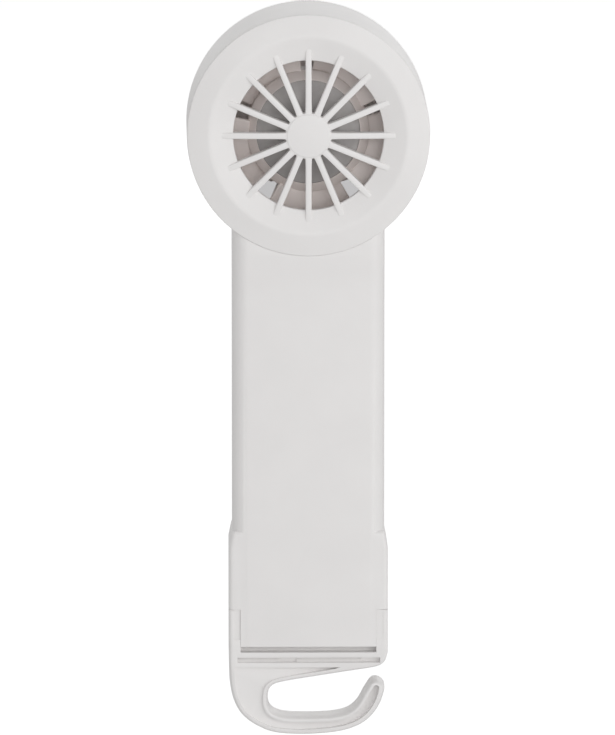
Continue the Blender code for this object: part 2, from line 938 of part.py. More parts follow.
def front_shell(whole):
    shell = solid_copy("front_shell", whole)
    combine(shell, half_space("front_half", True), "INTERSECT")
    cut(shell, head_hole((drum_inner_radius + drum_radius) / 2))
    add(shell, turned("drum", drum_profile(), steps=drum_steps))
    wire_window = box(
        "wire_window",
        (-wire_window_half_width, split_depth + wire_window_rear_gap, head_height - drum_radius - overrun),
        (wire_window_half_width, handle_inner_front, head_height - duct_outer_radius - overrun),
    )
    cut(shell, wire_window)
    bosses, bores = [], []
    for i, (across, height) in enumerate(board_places()):
        bosses.append(
            rod(
                f"board_boss_{i}",
                board_boss_radius,
                board_front + board_boss_gap,
                handle_inner_front + overrun,
                across,
                height,
                16,
            )
        )
        bores.append(
            rod(
                f"board_bore_{i}",
                board_boss_bore_radius,
                board_front,
                board_boss_bore_end,
                across,
                height,
                16,
            )
        )
    for i, (across, height) in enumerate(lug_places()):
        start = lug_rear + lug_thickness + boss_gap
        bosses.append(
            rod(f"lug_boss_{i}", boss_radius, start, drum_wall_front + overrun, across, height, 16)
        )
        bores.append(
            rod(f"lug_bore_{i}", boss_bore_radius, start - overrun, boss_bore_end, across, height, 16)
        )
    add(shell, joined("front_bosses", bosses))
    pipe_slot = box(
        "pipe_slot",
        (-pipe_half_width - seat_gap, board_front, led_row_height - pipe_half_height - seat_gap),
        (pipe_half_width + seat_gap, drum_front, led_row_height + pipe_half_height + seat_gap),
    )
    button_hole = rod(
        "button_hole", button_radius + button_gap, board_front, drum_front, 0.0, button_height, 32
    )
    cut(shell, joined("front_bores", bores), pipe_slot, button_hole)
    finish(shell, white_plastic)


def intake_grille():
    crest = grille_crest_depth
    inner_crest = crest + grille_crest_wall
    profile = (
        (grille_radius, grille_seat),
        (grille_radius, grille_rim_depth + grille_edge_radius),
        (grille_radius - grille_edge_radius, grille_rim_depth),
        (grille_crest_radius + crest_half_width, crest + crest_drop),
        (grille_crest_radius, crest),
        (grille_crest_radius - crest_half_width, crest + crest_drop),
        (intake_radius + grille_edge_radius / 2, intake_edge_depth),
        (intake_radius, intake_edge_depth + grille_edge_radius),
        (intake_radius, intake_lip_depth),
        (intake_radius + grille_wall / 2, intake_lip_depth),
        (grille_crest_radius, inner_crest),
        (skirt_inner_radius, grille_seat),
        (skirt_inner_radius, skirt_depth),
        (skirt_outer_radius, skirt_depth),
        (skirt_outer_radius, grille_seat),
    )
    grille = turned("intake_grille", profile, steps=drum_steps)
    hub = turned(
        "intake_hub",
        (
            (0, spoke_front),
            (intake_hub_radius, spoke_front),
            (intake_hub_radius, crest + intake_hub_edge),
            (intake_hub_radius - intake_hub_edge, crest),
            (0, crest),
        ),
        steps=32,
        closed=False,
    )
    dish_slope = (intake_edge_depth - crest) / (grille_crest_radius - crest_half_width - intake_radius)
    spoke_end = crest + dish_slope * (grille_crest_radius - crest_half_width - spoke_end_radius)
    spokes = []
    for i in range(spoke_count):
        spoke = outline(
            f"spoke_{i}",
            (
                (crest + intake_hub_edge / 2, head_height + spoke_root_radius),
                (spoke_end, head_height + spoke_end_radius),
                (intake_edge_depth, head_height + spoke_end_radius - grille_edge_radius),
                (spoke_front, head_height + intake_radius + grille_edge_radius),
                (spoke_front, head_height + spoke_root_radius),
            ),
            -spoke_width / 2,
            spoke_width / 2,
            "side",
        )
        spokes.append(turned_about_head(spoke, 360 / spoke_count * i))
    add(grille, joined("spokes", spokes), hub)
    finish(grille, white_plastic)


def outlet_grille():
    skirt_inner_radius = outlet_skirt_outer_radius - outlet_skirt_wall
    profile = (
        (outlet_radius - outlet_edge, outlet_face),
        (outlet_radius, outlet_face - outlet_edge),
        (outlet_radius, outlet_back),
        (outlet_skirt_outer_radius, outlet_back),
        (outlet_skirt_outer_radius, outlet_skirt_rear),
        (skirt_inner_radius, outlet_skirt_rear),
        (skirt_inner_radius, outlet_back),
        (outlet_ring_inner_radius, outlet_face - outlet_edge),
        (outlet_ring_inner_radius + outlet_edge, outlet_face),
    )
    grille = turned("outlet_grille", profile, steps=drum_steps)
    hub = turned(
        "outlet_hub",
        (
            (0, outlet_face),
            (outlet_hub_radius - outlet_edge, outlet_face),
            (outlet_hub_radius, outlet_face - outlet_edge),
            (outlet_hub_radius, outlet_back),
            (0, outlet_back),
        ),
        closed=False,
    )
    middle = ring(
        "middle_ring",
        middle_ring_radius - outlet_bar_width / 2,
        middle_ring_radius + outlet_bar_width / 2,
        outlet_back + outlet_bar_recess,
        outlet_face - outlet_bar_recess * 2,
    )
    bars = []
    for i in range(spoke_count):
        bar = box(
            f"outlet_bar_{i}",
            (-outlet_bar_width / 2, outlet_back, head_height + outlet_hub_radius - outlet_edge * 2),
            (
                outlet_bar_width / 2,
                outlet_face - outlet_bar_recess,
                head_height + outlet_ring_inner_radius + outlet_edge,
            ),
        )
        bars.append(turned_about_head(bar, 360 / spoke_count * i))
    add(grille, joined("outlet_bars", bars), middle, hub)
    finish(grille, white_plastic)


# Duct and motor


def duct_housing():
    duct = ring("duct_housing", duct_inner_radius, duct_outer_radius, duct_rear, duct_front, drum_steps)
    cup = turned(
        "motor_cup",
        (
            (cup_radius, cup_front),
            (cup_radius, cup_rear),
            (tube_outer_radius + seat_gap, cup_rear),
            (tube_outer_radius + seat_gap, cup_rear + cup_floor),
            (cup_radius - cup_wall, cup_rear + cup_floor),
            (cup_radius - cup_wall, cup_front),
        ),
    )
    vanes, lugs, webs, holes = [], [], [], []
    for i in range(vane_count):
        vane = box(
            f"vane_{i}",
            (-vane_thickness / 2, vane_rear, head_height + cup_radius - cup_wall / 2),
            (vane_thickness / 2, vane_front, head_height + duct_inner_radius + duct_wall / 2),
        )
        vanes.append(turned_about_head(vane, 180 + 360 / vane_count * i))
    for i, angle in enumerate(lug_angles):
        across, height = around_head(lug_centre_radius, angle)
        lugs.append(rod(f"lug_{i}", lug_radius, lug_rear, lug_rear + lug_thickness, across, height, 20))
        web = box(
            f"lug_web_{i}",
            (-lug_web_width / 2, lug_rear, head_height + duct_inner_radius + duct_wall / 2),
            (lug_web_width / 2, lug_rear + lug_thickness, head_height + lug_centre_radius),
        )
        webs.append(turned_about_head(web, 90 - angle))
        holes.append(
            rod(
                f"lug_hole_{i}",
                boss_bore_radius,
                lug_rear - overrun,
                lug_rear + lug_thickness + overrun,
                across,
                height,
                16,
            )
        )
    floor_slot = box(
        "floor_slot",
        (-wire_slot_half_width, cup_rear - overrun, wire_slot_height - wire_slot_half_height),
        (wire_slot_half_width, cup_rear + cup_floor + overrun, wire_slot_height + wire_slot_half_height),
    )
    wall_slot = box(
        "wall_slot",
        (
            -wire_slot_half_width,
            duct_wire_depth - wire_slot_half_height,
            head_height - duct_outer_radius - overrun,
        ),
        (
            wire_slot_half_width,
            duct_wire_depth + wire_slot_half_height,
            head_height - duct_inner_radius + duct_wall,
        ),
    )
    add(duct, joined("vanes", vanes), cup, joined("lug_webs", webs), joined("lugs", lugs))
    cut(duct, joined("lug_holes", holes), floor_slot, wall_slot)
    finish(duct, inner_plastic)


def screws():
    for i, (across, height) in enumerate(lug_places()):
        seat = lug_rear - seat_gap
        pan_screw(
            f"duct_screw_{i + 1}",
            (across, height),
            seat,
            duct_screw_head_radius,
            duct_screw_head_height,
            duct_screw_shaft_radius,
            duct_screw_end,
        )
    for i, place in enumerate(board_places()):
        pan_screw(
            f"board_screw_{i + 1}",
            place,
            board_rear - seat_gap,
            board_screw_head_radius,
            board_screw_head_height,
            board_screw_shaft_radius,
            board_screw_end,
        )


def pan_screw(name, place, seat, head_radius, crown, stem_radius, end):
    profile = (
        (0, end),
        (stem_radius, end),
        (stem_radius, seat),
        (head_radius, seat),
        (head_radius, seat - crown * screw_crown_height_share),
        (head_radius * screw_crown_width_share, seat - crown),
        (0, seat - crown),
    )
    finish(turned(name, profile, *place, steps=16, closed=False), bright_steel)


def bearing(name, rear):
    finish(
        ring(name, shaft_radius + bearing_fit, bearing_outer_radius, rear, rear + bearing_width, 24),
        bright_steel,
    )


def stator_core():
    points = []
    for i in range(tooth_count):
        middle = math.radians(360 / tooth_count * i)
        shoe = math.radians(shoe_half_angle)
        root = math.asin(tooth_half_width / core_yoke_radius)
        neck = math.asin(tooth_half_width / core_shoe_radius)
        for radius, turn in (
            (core_yoke_radius, -root),
            (core_shoe_radius, -neck),
            (core_shoe_radius, -shoe),
            (core_radius, -shoe),
            (core_radius, -shoe / 3),
            (core_radius, shoe / 3),
            (core_radius, shoe),
            (core_shoe_radius, shoe),
            (core_shoe_radius, neck),
            (core_yoke_radius, root),
        ):
            points.append(around_head(radius, math.degrees(middle + turn)))
    core = outline("stator_core", points, core_rear, core_front, "front")
    cut(
        core,
        rod(
            "core_bore", core_bore_radius, core_rear - overrun, core_front + overrun, 0.0, head_height
        ),
    )
    finish(core, lamination)


def stator_winding():
    outers, inners = [], []
    inner_half = tooth_half_width + coil_gap
    outer_half = inner_half + coil_thickness
    for i in range(tooth_count):
        turn = 90 - 360 / tooth_count * i
        outer = box(
            f"coil_{i}",
            (-outer_half, core_rear - coil_overhang, head_height + coil_inner_radius),
            (outer_half, core_front + coil_overhang, head_height + coil_outer_radius),
        )
        inner = box(
            f"coil_window_{i}",
            (-inner_half, core_rear - coil_gap, head_height + coil_inner_radius - overrun),
            (inner_half, core_front + coil_gap, head_height + coil_outer_radius + overrun),
        )
        outers.append(turned_about_head(outer, turn))
        inners.append(turned_about_head(inner, turn))
    winding = joined("stator_winding", outers)
    link = core_front + coil_overhang
    crossing = ring(
        "coil_crossing",
        coil_ring_inner_radius,
        coil_ring_outer_radius,
        link - coil_ring_height / 3,
        link + coil_ring_height,
        36,
    )
    cut(winding, joined("coil_windows", inners))
    add(winding, crossing)
    finish(winding, enamelled_copper)


def motor(spin):
    can = turned(
        "rotor_can",
        (
            (can_radius, can_front),
            (can_radius, can_rear + can_edge),
            (can_radius - can_edge, can_rear),
            (shaft_radius + shaft_fit, can_rear),
            (shaft_radius + shaft_fit, can_rear + can_end_wall),
            (can_inner_radius, can_rear + can_end_wall),
            (can_inner_radius, can_front),
        ),
    )
    finish(can, dark_steel, spin)
    magnets = ring(
        "magnet_ring",
        magnet_inner_radius,
        magnet_outer_radius,
        can_rear + can_end_wall + magnet_rear_gap,
        can_front - magnet_inset,
    )
    finish(magnets, magnet, spin)
    shaft = rod("motor_shaft", shaft_radius, shaft_rear, shaft_front, 0.0, head_height)
    finish(shaft, bright_steel, spin)
    bearing("bearing_rear", rear_bearing_depth)
    bearing("bearing_front", front_bearing_depth)
    finish(ring("bearing_tube", tube_inner_radius, tube_outer_radius, tube_rear, tube_front, 24), brass)
    stator_core()
    stator_winding()
    board = ring(
        "motor_board",
        motor_board_bore_radius,
        motor_board_radius,
        motor_board_rear,
        motor_board_front,
        36,
    )
    finish(board, circuit_board)


def blade_points(u, v):
    # A point of one blade: u runs along the chord and v from root to tip.
    radius = blade_root_radius + v * (blade_tip_radius - blade_root_radius)
    turn = math.radians(blade_start_angle + u * blade_span_angle)
    depth = blade_depth + (u - 0.5) * blade_rise
    return radius, turn, depth


def impeller(spin):
    hub = turned(
        "impeller",
        (
            (hub_outer_radius, hub_front),
            (hub_outer_radius, hub_rear + hub_edge),
            (hub_outer_radius - hub_edge * hub_edge_share, hub_rear + hub_edge * hub_edge_share),
            (hub_outer_radius - hub_edge, hub_rear),
            (hub_inner_radius, hub_rear),
            (hub_inner_radius, hub_front),
        ),
    )
    work = bmesh.new()
    for i in range(blade_count):
        made = bmesh.ops.create_grid(work, x_segments=7, y_segments=3, size=1)
        for vert in made["verts"]:
            radius, turn, depth = blade_points((vert.co.x + 1) / 2, (vert.co.y + 1) / 2)
            turn += math.radians(360 / blade_count * i)
            vert.co = (radius * math.cos(turn), depth, radius * math.sin(turn))
    blades = new_shape("blades", mesh_from("blades", work), Matrix.Translation((0, 0, head_height)))
    thicken = blades.modifiers.new("thickness", "SOLIDIFY")
    thicken.thickness = blade_thickness
    thicken.offset = 0
    thicken.use_even_offset = True
    add(hub, blades)
    finish(hub, blade_plastic, spin)


# Handle contents


def battery():
    cell = box(
        "battery_cell",
        (-battery_half_width, battery_rear, battery_bottom),
        (battery_half_width, battery_front, battery_top),
    )
    soften(cell, battery_edge)
    finish(cell, pouch_foil)
    pad = box(
        "battery_pad",
        (
            -battery_half_width + pad_margin,
            battery_rear - seat_gap - pad_thickness,
            battery_bottom + pad_margin,
        ),
        (battery_half_width - pad_margin, battery_rear - seat_gap, battery_top - pad_margin),
    )
    finish(pad, foam)


def block_on_board(name, place, half_width, half_height, depth, on_front, material):
    across, height = place
    if on_front:
        rear = board_front + seat_gap
        front = rear + depth
    else:
        front = board_rear - seat_gap
        rear = front - depth
    low = (across - half_width, rear, height - half_height)
    high = (across + half_width, front, height + half_height)
    return finish(box(name, low, high), material)


def main_board():
    board = box(
        "main_board",
        (-board_half_width, board_rear, board_bottom),
        (board_half_width, board_front, board_top),
    )
    holes = [
        rod(
            f"board_hole_{i}",
            board_hole_radius,
            board_rear - overrun,
            board_front + overrun,
            across,
            height,
            16,
        )
        for i, (across, height) in enumerate(board_places())
    ]
    cut(board, joined("board_holes", holes))
    finish(board, circuit_board)
    size = controller_half_size
    block_on_board("controller_chip", controller_place, size, size, chip_height, True, black_plastic)
    size = charge_chip_half_size
    block_on_board("charge_chip", charge_chip_place, size, size, chip_height, True, black_plastic)
    block_on_board(
        "battery_connector",
        connector_place,
        connector_half_width,
        connector_half_height,
        connector_depth,
        False,
        clear_plastic,
    )
    for i in range(led_count):
        across = (i - (led_count - 1) / 2) * led_pitch
        place = (across, led_row_height)
        block_on_board(f"led_{i + 1}", place, led_half_size, led_half_size, led_height, True, clear_plastic)
    coil_front = board_rear - seat_gap
    coil = rod(
        "inductor", inductor_radius, coil_front - inductor_height, coil_front, *inductor_place, 20
    )
    finish(coil, ferrite)


def usb_c_socket():
    width, depth = socket_half_width, socket_half_thickness
    tongue = box(
        "socket_tongue",
        (
            -socket_tongue_half_width,
            socket_depth - socket_tongue_half_thickness,
            socket_bottom + socket_tongue_inset,
        ),
        (
            socket_tongue_half_width,
            socket_depth + socket_tongue_half_thickness,
            socket_bottom + socket_length - socket_back_wall / 2,
        ),
    )
    socket = outline(
        "usb_c_socket",
        rounded_slot(width, depth, socket_depth),
        socket_bottom,
        socket_bottom + socket_length,
        "top",
    )
    mouth = outline(
        "socket_mouth",
        rounded_slot(width - socket_wall, depth - socket_wall, socket_depth),
        socket_bottom - overrun,
        socket_bottom + socket_length - socket_back_wall,
        "top",
    )
    cut(socket, mouth)
    add(socket, tongue)
    finish(socket, bright_steel)


def rounded_slot(half_width, half_thickness, depth):
    # A slot with round ends, across by depth.
    points = []
    steps = 6
    for side in (1, -1):
        for i in range(steps + 1):
            turn = math.radians(-90 + 180 * i / steps) + (0 if side > 0 else math.pi)
            across = side * (half_width - half_thickness) + half_thickness * math.cos(turn)
            points.append((across, depth + half_thickness * math.sin(turn)))
    return points


def tact_switch():
    switch = box(
        "tact_switch",
        (-switch_half_size, board_front + seat_gap, button_height - switch_half_size),
        (
            switch_half_size,
            board_front + seat_gap + switch_height,
            button_height + switch_half_size,
        ),
    )
    top = board_front + seat_gap + switch_height
    add(switch, rod("plunger", plunger_radius, top - overrun, top + plunger_reach, 0.0, button_height, 16))
    finish(switch, black_plastic)


def light_pipe():
    front = handle_front - seat_gap
    rear = board_front + seat_gap + led_height + pipe_light_gap
    flange_front = handle_inner_front - seat_gap
    pipe = box(
        "light_pipe",
        (-pipe_half_width, rear, led_row_height - pipe_half_height),
        (pipe_half_width, front, led_row_height + pipe_half_height),
    )
    flange = box(
        "pipe_flange",
        (
            -pipe_half_width - pipe_flange,
            flange_front - pipe_flange_thickness,
            led_row_height - pipe_half_height - pipe_flange,
        ),
        (
            pipe_half_width + pipe_flange,
            flange_front,
            led_row_height + pipe_half_height + pipe_flange,
        ),
    )
    add(pipe, flange)
    finish(pipe, clear_plastic)


def power_button():
    flange_front = handle_inner_front - button_flange_gap
    flange_rear = flange_front - button_flange_thickness
    face = handle_front + button_proud
    flange_radius = button_radius + button_flange
    profile = (
        (0, face),
        (button_radius - button_edge, face),
        (button_radius, face - button_edge),
        (button_radius, flange_front),
        (flange_radius, flange_front),
        (flange_radius, flange_rear),
        (button_stem_radius, flange_rear),
        (button_stem_radius, flange_rear - button_stem_height),
        (0, flange_rear - button_stem_height),
    )
    finish(turned("power_button", profile, 0.0, button_height, 32, closed=False), white_plastic)


def wires():
    across, height = connector_place
    entry = height - connector_half_height - running_gap
    top = battery_top + running_gap
    middle = (battery_rear + battery_front) / 2
    plug_depth = board_rear - connector_depth / 2
    for name, side, material in (
        ("battery_wire_red", -1, red_insulation),
        ("battery_wire_black", 1, black_insulation),
    ):
        place = across + side * battery_wire_across
        climb = entry - top
        stops = (
            (place, middle, top),
            (place, middle + (plug_depth - middle) * 0.1, top + climb * 0.45),
            (place, middle + (plug_depth - middle) * 0.5, top + climb * 0.68),
            (place, middle + (plug_depth - middle) * 0.92, top + climb * 0.82),
            (place, plug_depth, entry),
        )
        wire(name, battery_wire_radius, stops, material)
    drum_floor = head_height - (duct_outer_radius + drum_inner_radius) / 2
    over_cup = cup_front + motor_wire_radius + running_gap
    for name, side, material in (
        ("motor_wire_red", -1, red_insulation),
        ("motor_wire_black", 1, black_insulation),
    ):
        place = side * motor_wire_across
        start = board_rear - motor_wire_radius - running_gap
        stops = (
            (place, start, board_top - motor_wire_tail),
            (place, start, board_top),
            (place, board_front, (board_top + drum_floor) / 2),
            (place, board_front + board_thickness, drum_floor - board_thickness),
            (place, handle_inner_front, drum_floor),
            (place, lug_rear, drum_floor),
            (place, duct_wire_depth, head_height - duct_outer_radius),
            (place, over_cup, head_height - duct_inner_radius + duct_wall * 2),
            (place, over_cup, head_height - cup_radius - cup_wall),
            (place, over_cup, head_height - cup_radius + cup_wall),
            (place, (over_cup + cup_rear) / 2, wire_slot_height - cup_wall / 2),
            (place, motor_board_front + running_gap, wire_slot_height),
        )
        wire(name, motor_wire_radius, stops, material)


# Hook cap


def hook_points(shares):
    return [(across * hook_reach, up * hook_drop) for across, up in shares]


def cap_outline():
    # From the rear: left arm, hook, base's right end, right arm, and back along the plate.
    arm = cap_arm_inner
    top = notch_top - parting_gap
    left_arm = [(-arm, cap_plate_top), (-arm, top), (-flare_half_width, top)]
    right_arm = [(flare_half_width, top), (arm, top), (arm, cap_plate_top)]
    hook = hook_points(hook_outer_shares + hook_tip_shares + hook_inner_shares + hook_corner_shares)
    left_foot = [(-flare_half_width, cap_slot_top)]
    right_foot = [(flare_half_width, cap_plate_top)]
    return left_arm + left_foot + hook + right_foot + right_arm


def hook_core():
    # The hollow between the hook's outer and inner rims, open to the rear.
    outer = offset_path(hook_points(hook_outer_shares), hook_outer_wall)
    inner = offset_path(hook_points(hook_inner_shares), hook_inner_wall)
    roof = cap_roof
    outer = [(across, up) for across, up in outer if up < roof - hook_outer_wall / 2]
    inner = [(across, up) for across, up in inner if up < roof - hook_outer_wall / 4]
    return [(outer[0][0], roof)] + outer + inner + [(inner[-1][0] + hook_inner_wall, roof)]


def end_cap():
    far = drum_radius * 2
    cap = outline("end_cap", cap_outline(), cap_rear, handle_front, "front")
    soften(cap, cap_edge_radius, segments=2, angle=60)
    side = outline(
        "cap_side",
        (
            (cap_rear - overrun, -overrun),
            (hook_front, -overrun),
            (hook_front, hook_taper_bottom),
            (handle_front + overrun, hook_taper_top),
            (handle_front + overrun, notch_top + overrun),
            (cap_rear - overrun, notch_top + overrun),
        ),
        -far,
        far,
        "side",
    )
    combine(cap, side, "INTERSECT")
    slot = box(
        "cap_slot",
        (cap_slot_left_wall - flare_half_width, -far, cap_slot_bottom),
        (flare_half_width - cap_slot_right_wall, cap_rear + cap_core_depth, cap_slot_top),
    )
    window = box(
        "cap_window",
        (cap_window_left, cap_rear + cap_core_depth - overrun, cap_slot_bottom),
        (cap_window_right, cap_rear + cap_core_depth + cap_window_depth, cap_slot_top),
    )
    core = outline("hook_core", hook_core(), -far, cap_rear + hook_core_depth, "front")
    inner = cap_arm_inner - overrun
    outer = flare_half_width - arm_outer_wall
    pockets = [
        box(
            f"{name}_pocket",
            (min(side * inner, side * outer), -far, arm_pocket_bottom),
            (max(side * inner, side * outer), cap_rear + arm_pocket_depth, notch_top + overrun),
        )
        for name, side in (("left", -1), ("right", 1))
    ]
    tongue = box(
        "cap_tongue",
        (-cap_arm_inner - overrun, cap_rear + tongue_inset, cap_plate_top - overrun),
        (cap_arm_inner + overrun, handle_front - seat_gap, handle_bottom - parting_gap),
    )
    cut(cap, slot, window, core, *pockets)
    add(cap, tongue)
    finish(cap, white_plastic)


whole_handle = handle()
rear_shell(whole_handle)
front_shell(whole_handle)
intake_grille()
outlet_grille()
duct_housing()
impeller_axis = new_axis("impeller_axis", (0, 0, head_height))
impeller(impeller_axis)
motor(impeller_axis)
screws()
battery()
main_board()
usb_c_socket()
tact_switch()
light_pipe()
power_button()
wires()
end_cap()
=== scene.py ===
import json
import math
from types import SimpleNamespace

import bmesh
import bpy
from mathutils import Matrix, Vector


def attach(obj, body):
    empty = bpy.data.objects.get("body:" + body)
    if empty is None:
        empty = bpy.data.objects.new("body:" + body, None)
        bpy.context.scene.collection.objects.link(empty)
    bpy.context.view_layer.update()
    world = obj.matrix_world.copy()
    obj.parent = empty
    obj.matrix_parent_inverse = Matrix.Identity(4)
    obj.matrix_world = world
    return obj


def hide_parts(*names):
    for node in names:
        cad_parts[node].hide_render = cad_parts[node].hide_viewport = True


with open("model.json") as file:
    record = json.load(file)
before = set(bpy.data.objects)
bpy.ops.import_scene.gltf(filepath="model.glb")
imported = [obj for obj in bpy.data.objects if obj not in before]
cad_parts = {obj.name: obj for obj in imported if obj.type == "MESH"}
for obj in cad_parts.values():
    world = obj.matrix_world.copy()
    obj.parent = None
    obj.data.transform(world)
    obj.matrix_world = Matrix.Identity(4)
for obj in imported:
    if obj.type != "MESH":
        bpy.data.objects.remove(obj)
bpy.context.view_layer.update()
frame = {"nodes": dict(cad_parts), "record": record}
mm = 0.001
past = 1 * mm  # how far a cutter reaches past what it cuts
overlap = 0.4 * mm  # how far joined shapes run into each other
fullRound = 0.98  # share of a slot's half height that rounds its ends
print("frame loaded:", len(frame["nodes"]), "CAD nodes")


def inMetres(value):
    return tuple(inMetres(part) for part in value) if isinstance(value, tuple) else value * mm


def sized(values):
    # a piece's values by name, its lengths turned from mm into metres
    plain = ("Count", "Angle", "Angles", "Power", "Shares")
    return SimpleNamespace(**{name: v if name.endswith(plain) else inMetres(v) for name, v in values.items()})


def linked(name, data):
    made = bpy.data.objects.new(name, data)
    bpy.context.scene.collection.objects.link(made)
    return made


# camera: a long lens, a little above the middle of the fan
camera = {
    "distance": 2500 * mm,
    "elevation": 8.81,  # degrees above level
    "azimuth": 0.89,  # degrees round to the left
    "target": (-0.016 * mm, 0, 91.07 * mm),
    "lens": 582.4, "sensor": 36, "clip": (0.05, 50),
}


def addCamera():
    rise = math.radians(camera["elevation"])
    turn = math.radians(camera["azimuth"])
    forward = Vector((math.sin(turn) * math.cos(rise), math.cos(turn) * math.cos(rise), -math.sin(rise)))
    data = bpy.data.cameras.new("camera")
    data.sensor_fit = "HORIZONTAL"
    data.sensor_width = camera["sensor"]
    data.lens = camera["lens"]
    data.clip_start, data.clip_end = camera["clip"]
    viewer = linked("camera", data)
    viewer.location = Vector(camera["target"]) - forward * camera["distance"]
    viewer.rotation_euler = forward.to_track_quat("-Z", "Y").to_euler()
    bpy.context.scene.camera = viewer


addCamera()


# colours and nodes
def linear(hexText):
    parts = [int(hexText[i : i + 2], 16) / 255 for i in (1, 3, 5)]
    return tuple(p / 12.92 if p <= 0.04045 else ((p + 0.055) / 1.055) ** 2.4 for p in parts) + (1,)


def addNode(tree, kind, settings=None, links=None):
    # settings are sockets or properties by name, links are sockets by name or place
    node = tree.nodes.new("ShaderNode" + kind)
    for name, value in (settings or {}).items():
        if name in node.bl_rna.properties:
            setattr(node, name, value)
        else:
            node.inputs[name].default_value = value
    for name, source in (links or {}).items():
        tree.links.new(source, node.inputs[name])
    return node


def perMetre(sizeInMm):
    # a texture's scale for features of this size
    return 1 / (sizeInMm * mm)


def startMaterial(name):
    material = bpy.data.materials.new(name)
    material.use_nodes = True
    tree = material.node_tree
    tree.nodes.clear()
    return material, tree, addNode(tree, "TexCoord").outputs["Object"]


def endMaterial(tree, colours, cloud, settings, grain=None, relief=None, rough=None):
    # two colours follow the cloud, and a fine relief and the roughness follow the grain
    light, dark = map(linear, colours)
    colour = addNode(tree, "Mix", {"data_type": "RGBA", "A": light, "B": dark}, {"Factor": cloud})
    links = {"Base Color": colour.outputs["Result"]}
    if relief:
        strength, heightInMm = relief
        bump = addNode(tree, "Bump", {"Strength": strength, "Distance": heightInMm * mm}, {"Height": grain})
        links["Normal"] = bump.outputs["Normal"]
    if rough:
        limits = {"From Min": 0.3, "From Max": 0.7, "To Min": rough[0], "To Max": rough[1]}
        links["Roughness"] = addNode(tree, "MapRange", limits, {"Value": grain}).outputs["Result"]
    shader = addNode(tree, "BsdfPrincipled", settings, links)
    addNode(tree, "OutputMaterial", links={"Surface": shader.outputs[0]})


# for each slot its material's name, colours, roughness, size and height of the tool's grain
# (drawn about twice as coarse as real) and size of the cloud
plastics = {
    "white_plastic": ("whiteAbs", ("#f2f0ef", "#ebe9e8"), (0.4, 0.5), (0.35, 0.012), 14),
    # the inner and blade plastics are paler than the housing's white: painted light that brightens the shaded
    # inside of the duct and the impeller
    "inner_plastic": ("innerAbs", ("#faf5f2", "#f3ece9"), (0.42, 0.52), (0.3, 0.01), 9),
    "blade_plastic": ("bladeAbs", ("#fcf3ef", "#f5ebe7"), (0.38, 0.5), (0.25, 0.008), 7),
    "black_plastic": ("blackEpoxy", ("#26262a", "#1b1b1e"), (0.45, 0.6), (0.2, 0.01), 2),
    "red_insulation": ("redSilicone", ("#b32a22", "#9c2019"), (0.45, 0.6), (0.2, 0.006), 5),
    "black_insulation": ("blackSilicone", ("#1d1d1f", "#131315"), (0.45, 0.6), (0.2, 0.006), 5),
}
# name, colours, roughness, width of the lines and the axis that they run across
metals = {
    "dark_steel": ("platedSteel", ("#b7b4b3", "#a29f9e"), (0.56, 0.7), 0.5, "Y"),
    "bright_steel": ("brightSteel", ("#c9c9c6", "#a9a9a6"), (0.22, 0.36), 0.3, "Y"),
    "brass": ("turnedBrass", ("#d3b06a", "#b08c48"), (0.25, 0.4), 0.3, "Y"),
    "lamination": ("siliconSteel", ("#8d9196", "#6b6f75"), (0.4, 0.55), 0.5, "Y"),
    "enamelled_copper": ("enamelledCopper", ("#c0693a", "#93431f"), (0.25, 0.4), 0.3, "X"),
    "pouch_foil": ("pouchFoil", ("#c4c6ca", "#a5a8ad"), (0.25, 0.45), 1.5, "Z"),
}
# name, colours, roughness, and the size and the strength and height of the speckles
speckles = {
    "magnet": ("ferriteMagnet", ("#3a3a3c", "#29292b"), 0.65, 0.2, (0.6, 0.02)),
    "ferrite": ("ferriteCore", ("#3a3a3c", "#29292b"), 0.55, 0.25, (0.6, 0.02)),
    "foam": ("foamTape", ("#2c2c2d", "#1d1d1e"), 0.95, 0.35, (0.6, 0.08)),
}
# the lacquer's two greens and that of the tracks
board = {"colours": ("#1f6b3a", "#185730", "#2b8049"), "trackPitch": 2.4}
milky = {"colours": ("#eef1f3", "#e1e6e9"), "cloud": 3}


def mouldedPlastic(name, colours, rough, relief, cloudSize):
    # injection-moulded plastic: satin, with the fine grain of the tool and a barely cloudy colour
    grainSize, grainHeight = relief
    material, tree, place = startMaterial(name)
    cloudy = {"Scale": perMetre(cloudSize), "Detail": 2.0}
    cloud = addNode(tree, "TexNoise", cloudy, {"Vector": place}).outputs["Fac"]
    fine = {"Scale": perMetre(grainSize), "Detail": 3.0, "Roughness": 0.6}
    grain = addNode(tree, "TexNoise", fine, {"Vector": place}).outputs["Fac"]
    endMaterial(tree, colours, cloud, {"IOR": 1.53}, grain, (0.35, grainHeight), rough)
    return material


def drawnMetal(name, colours, rough, width, across):
    # metal with fine lines left by rolling, turning or winding
    material, tree, place = startMaterial(name)
    stretch = [1 if axis == across else 0.08 for axis in "XYZ"]
    along = addNode(tree, "Mapping", {"Scale": stretch}, {"Vector": place}).outputs["Vector"]
    fine = {"Scale": perMetre(width), "Detail": 4.0, "Roughness": 0.6}
    lines = addNode(tree, "TexNoise", fine, {"Vector": along}).outputs["Fac"]
    endMaterial(tree, colours, lines, {"Metallic": 1.0}, lines, (0.3, 0.01), rough)
    return material


def speckled(name, colours, roughness, size, relief):
    # sintered or foamed stuff: a matt, evenly speckled surface
    material, tree, place = startMaterial(name)
    cells = addNode(tree, "TexVoronoi", {"Scale": perMetre(size)}, {"Vector": place}).outputs["Distance"]
    endMaterial(tree, colours, cells, {"Roughness": roughness}, cells, relief)
    return material


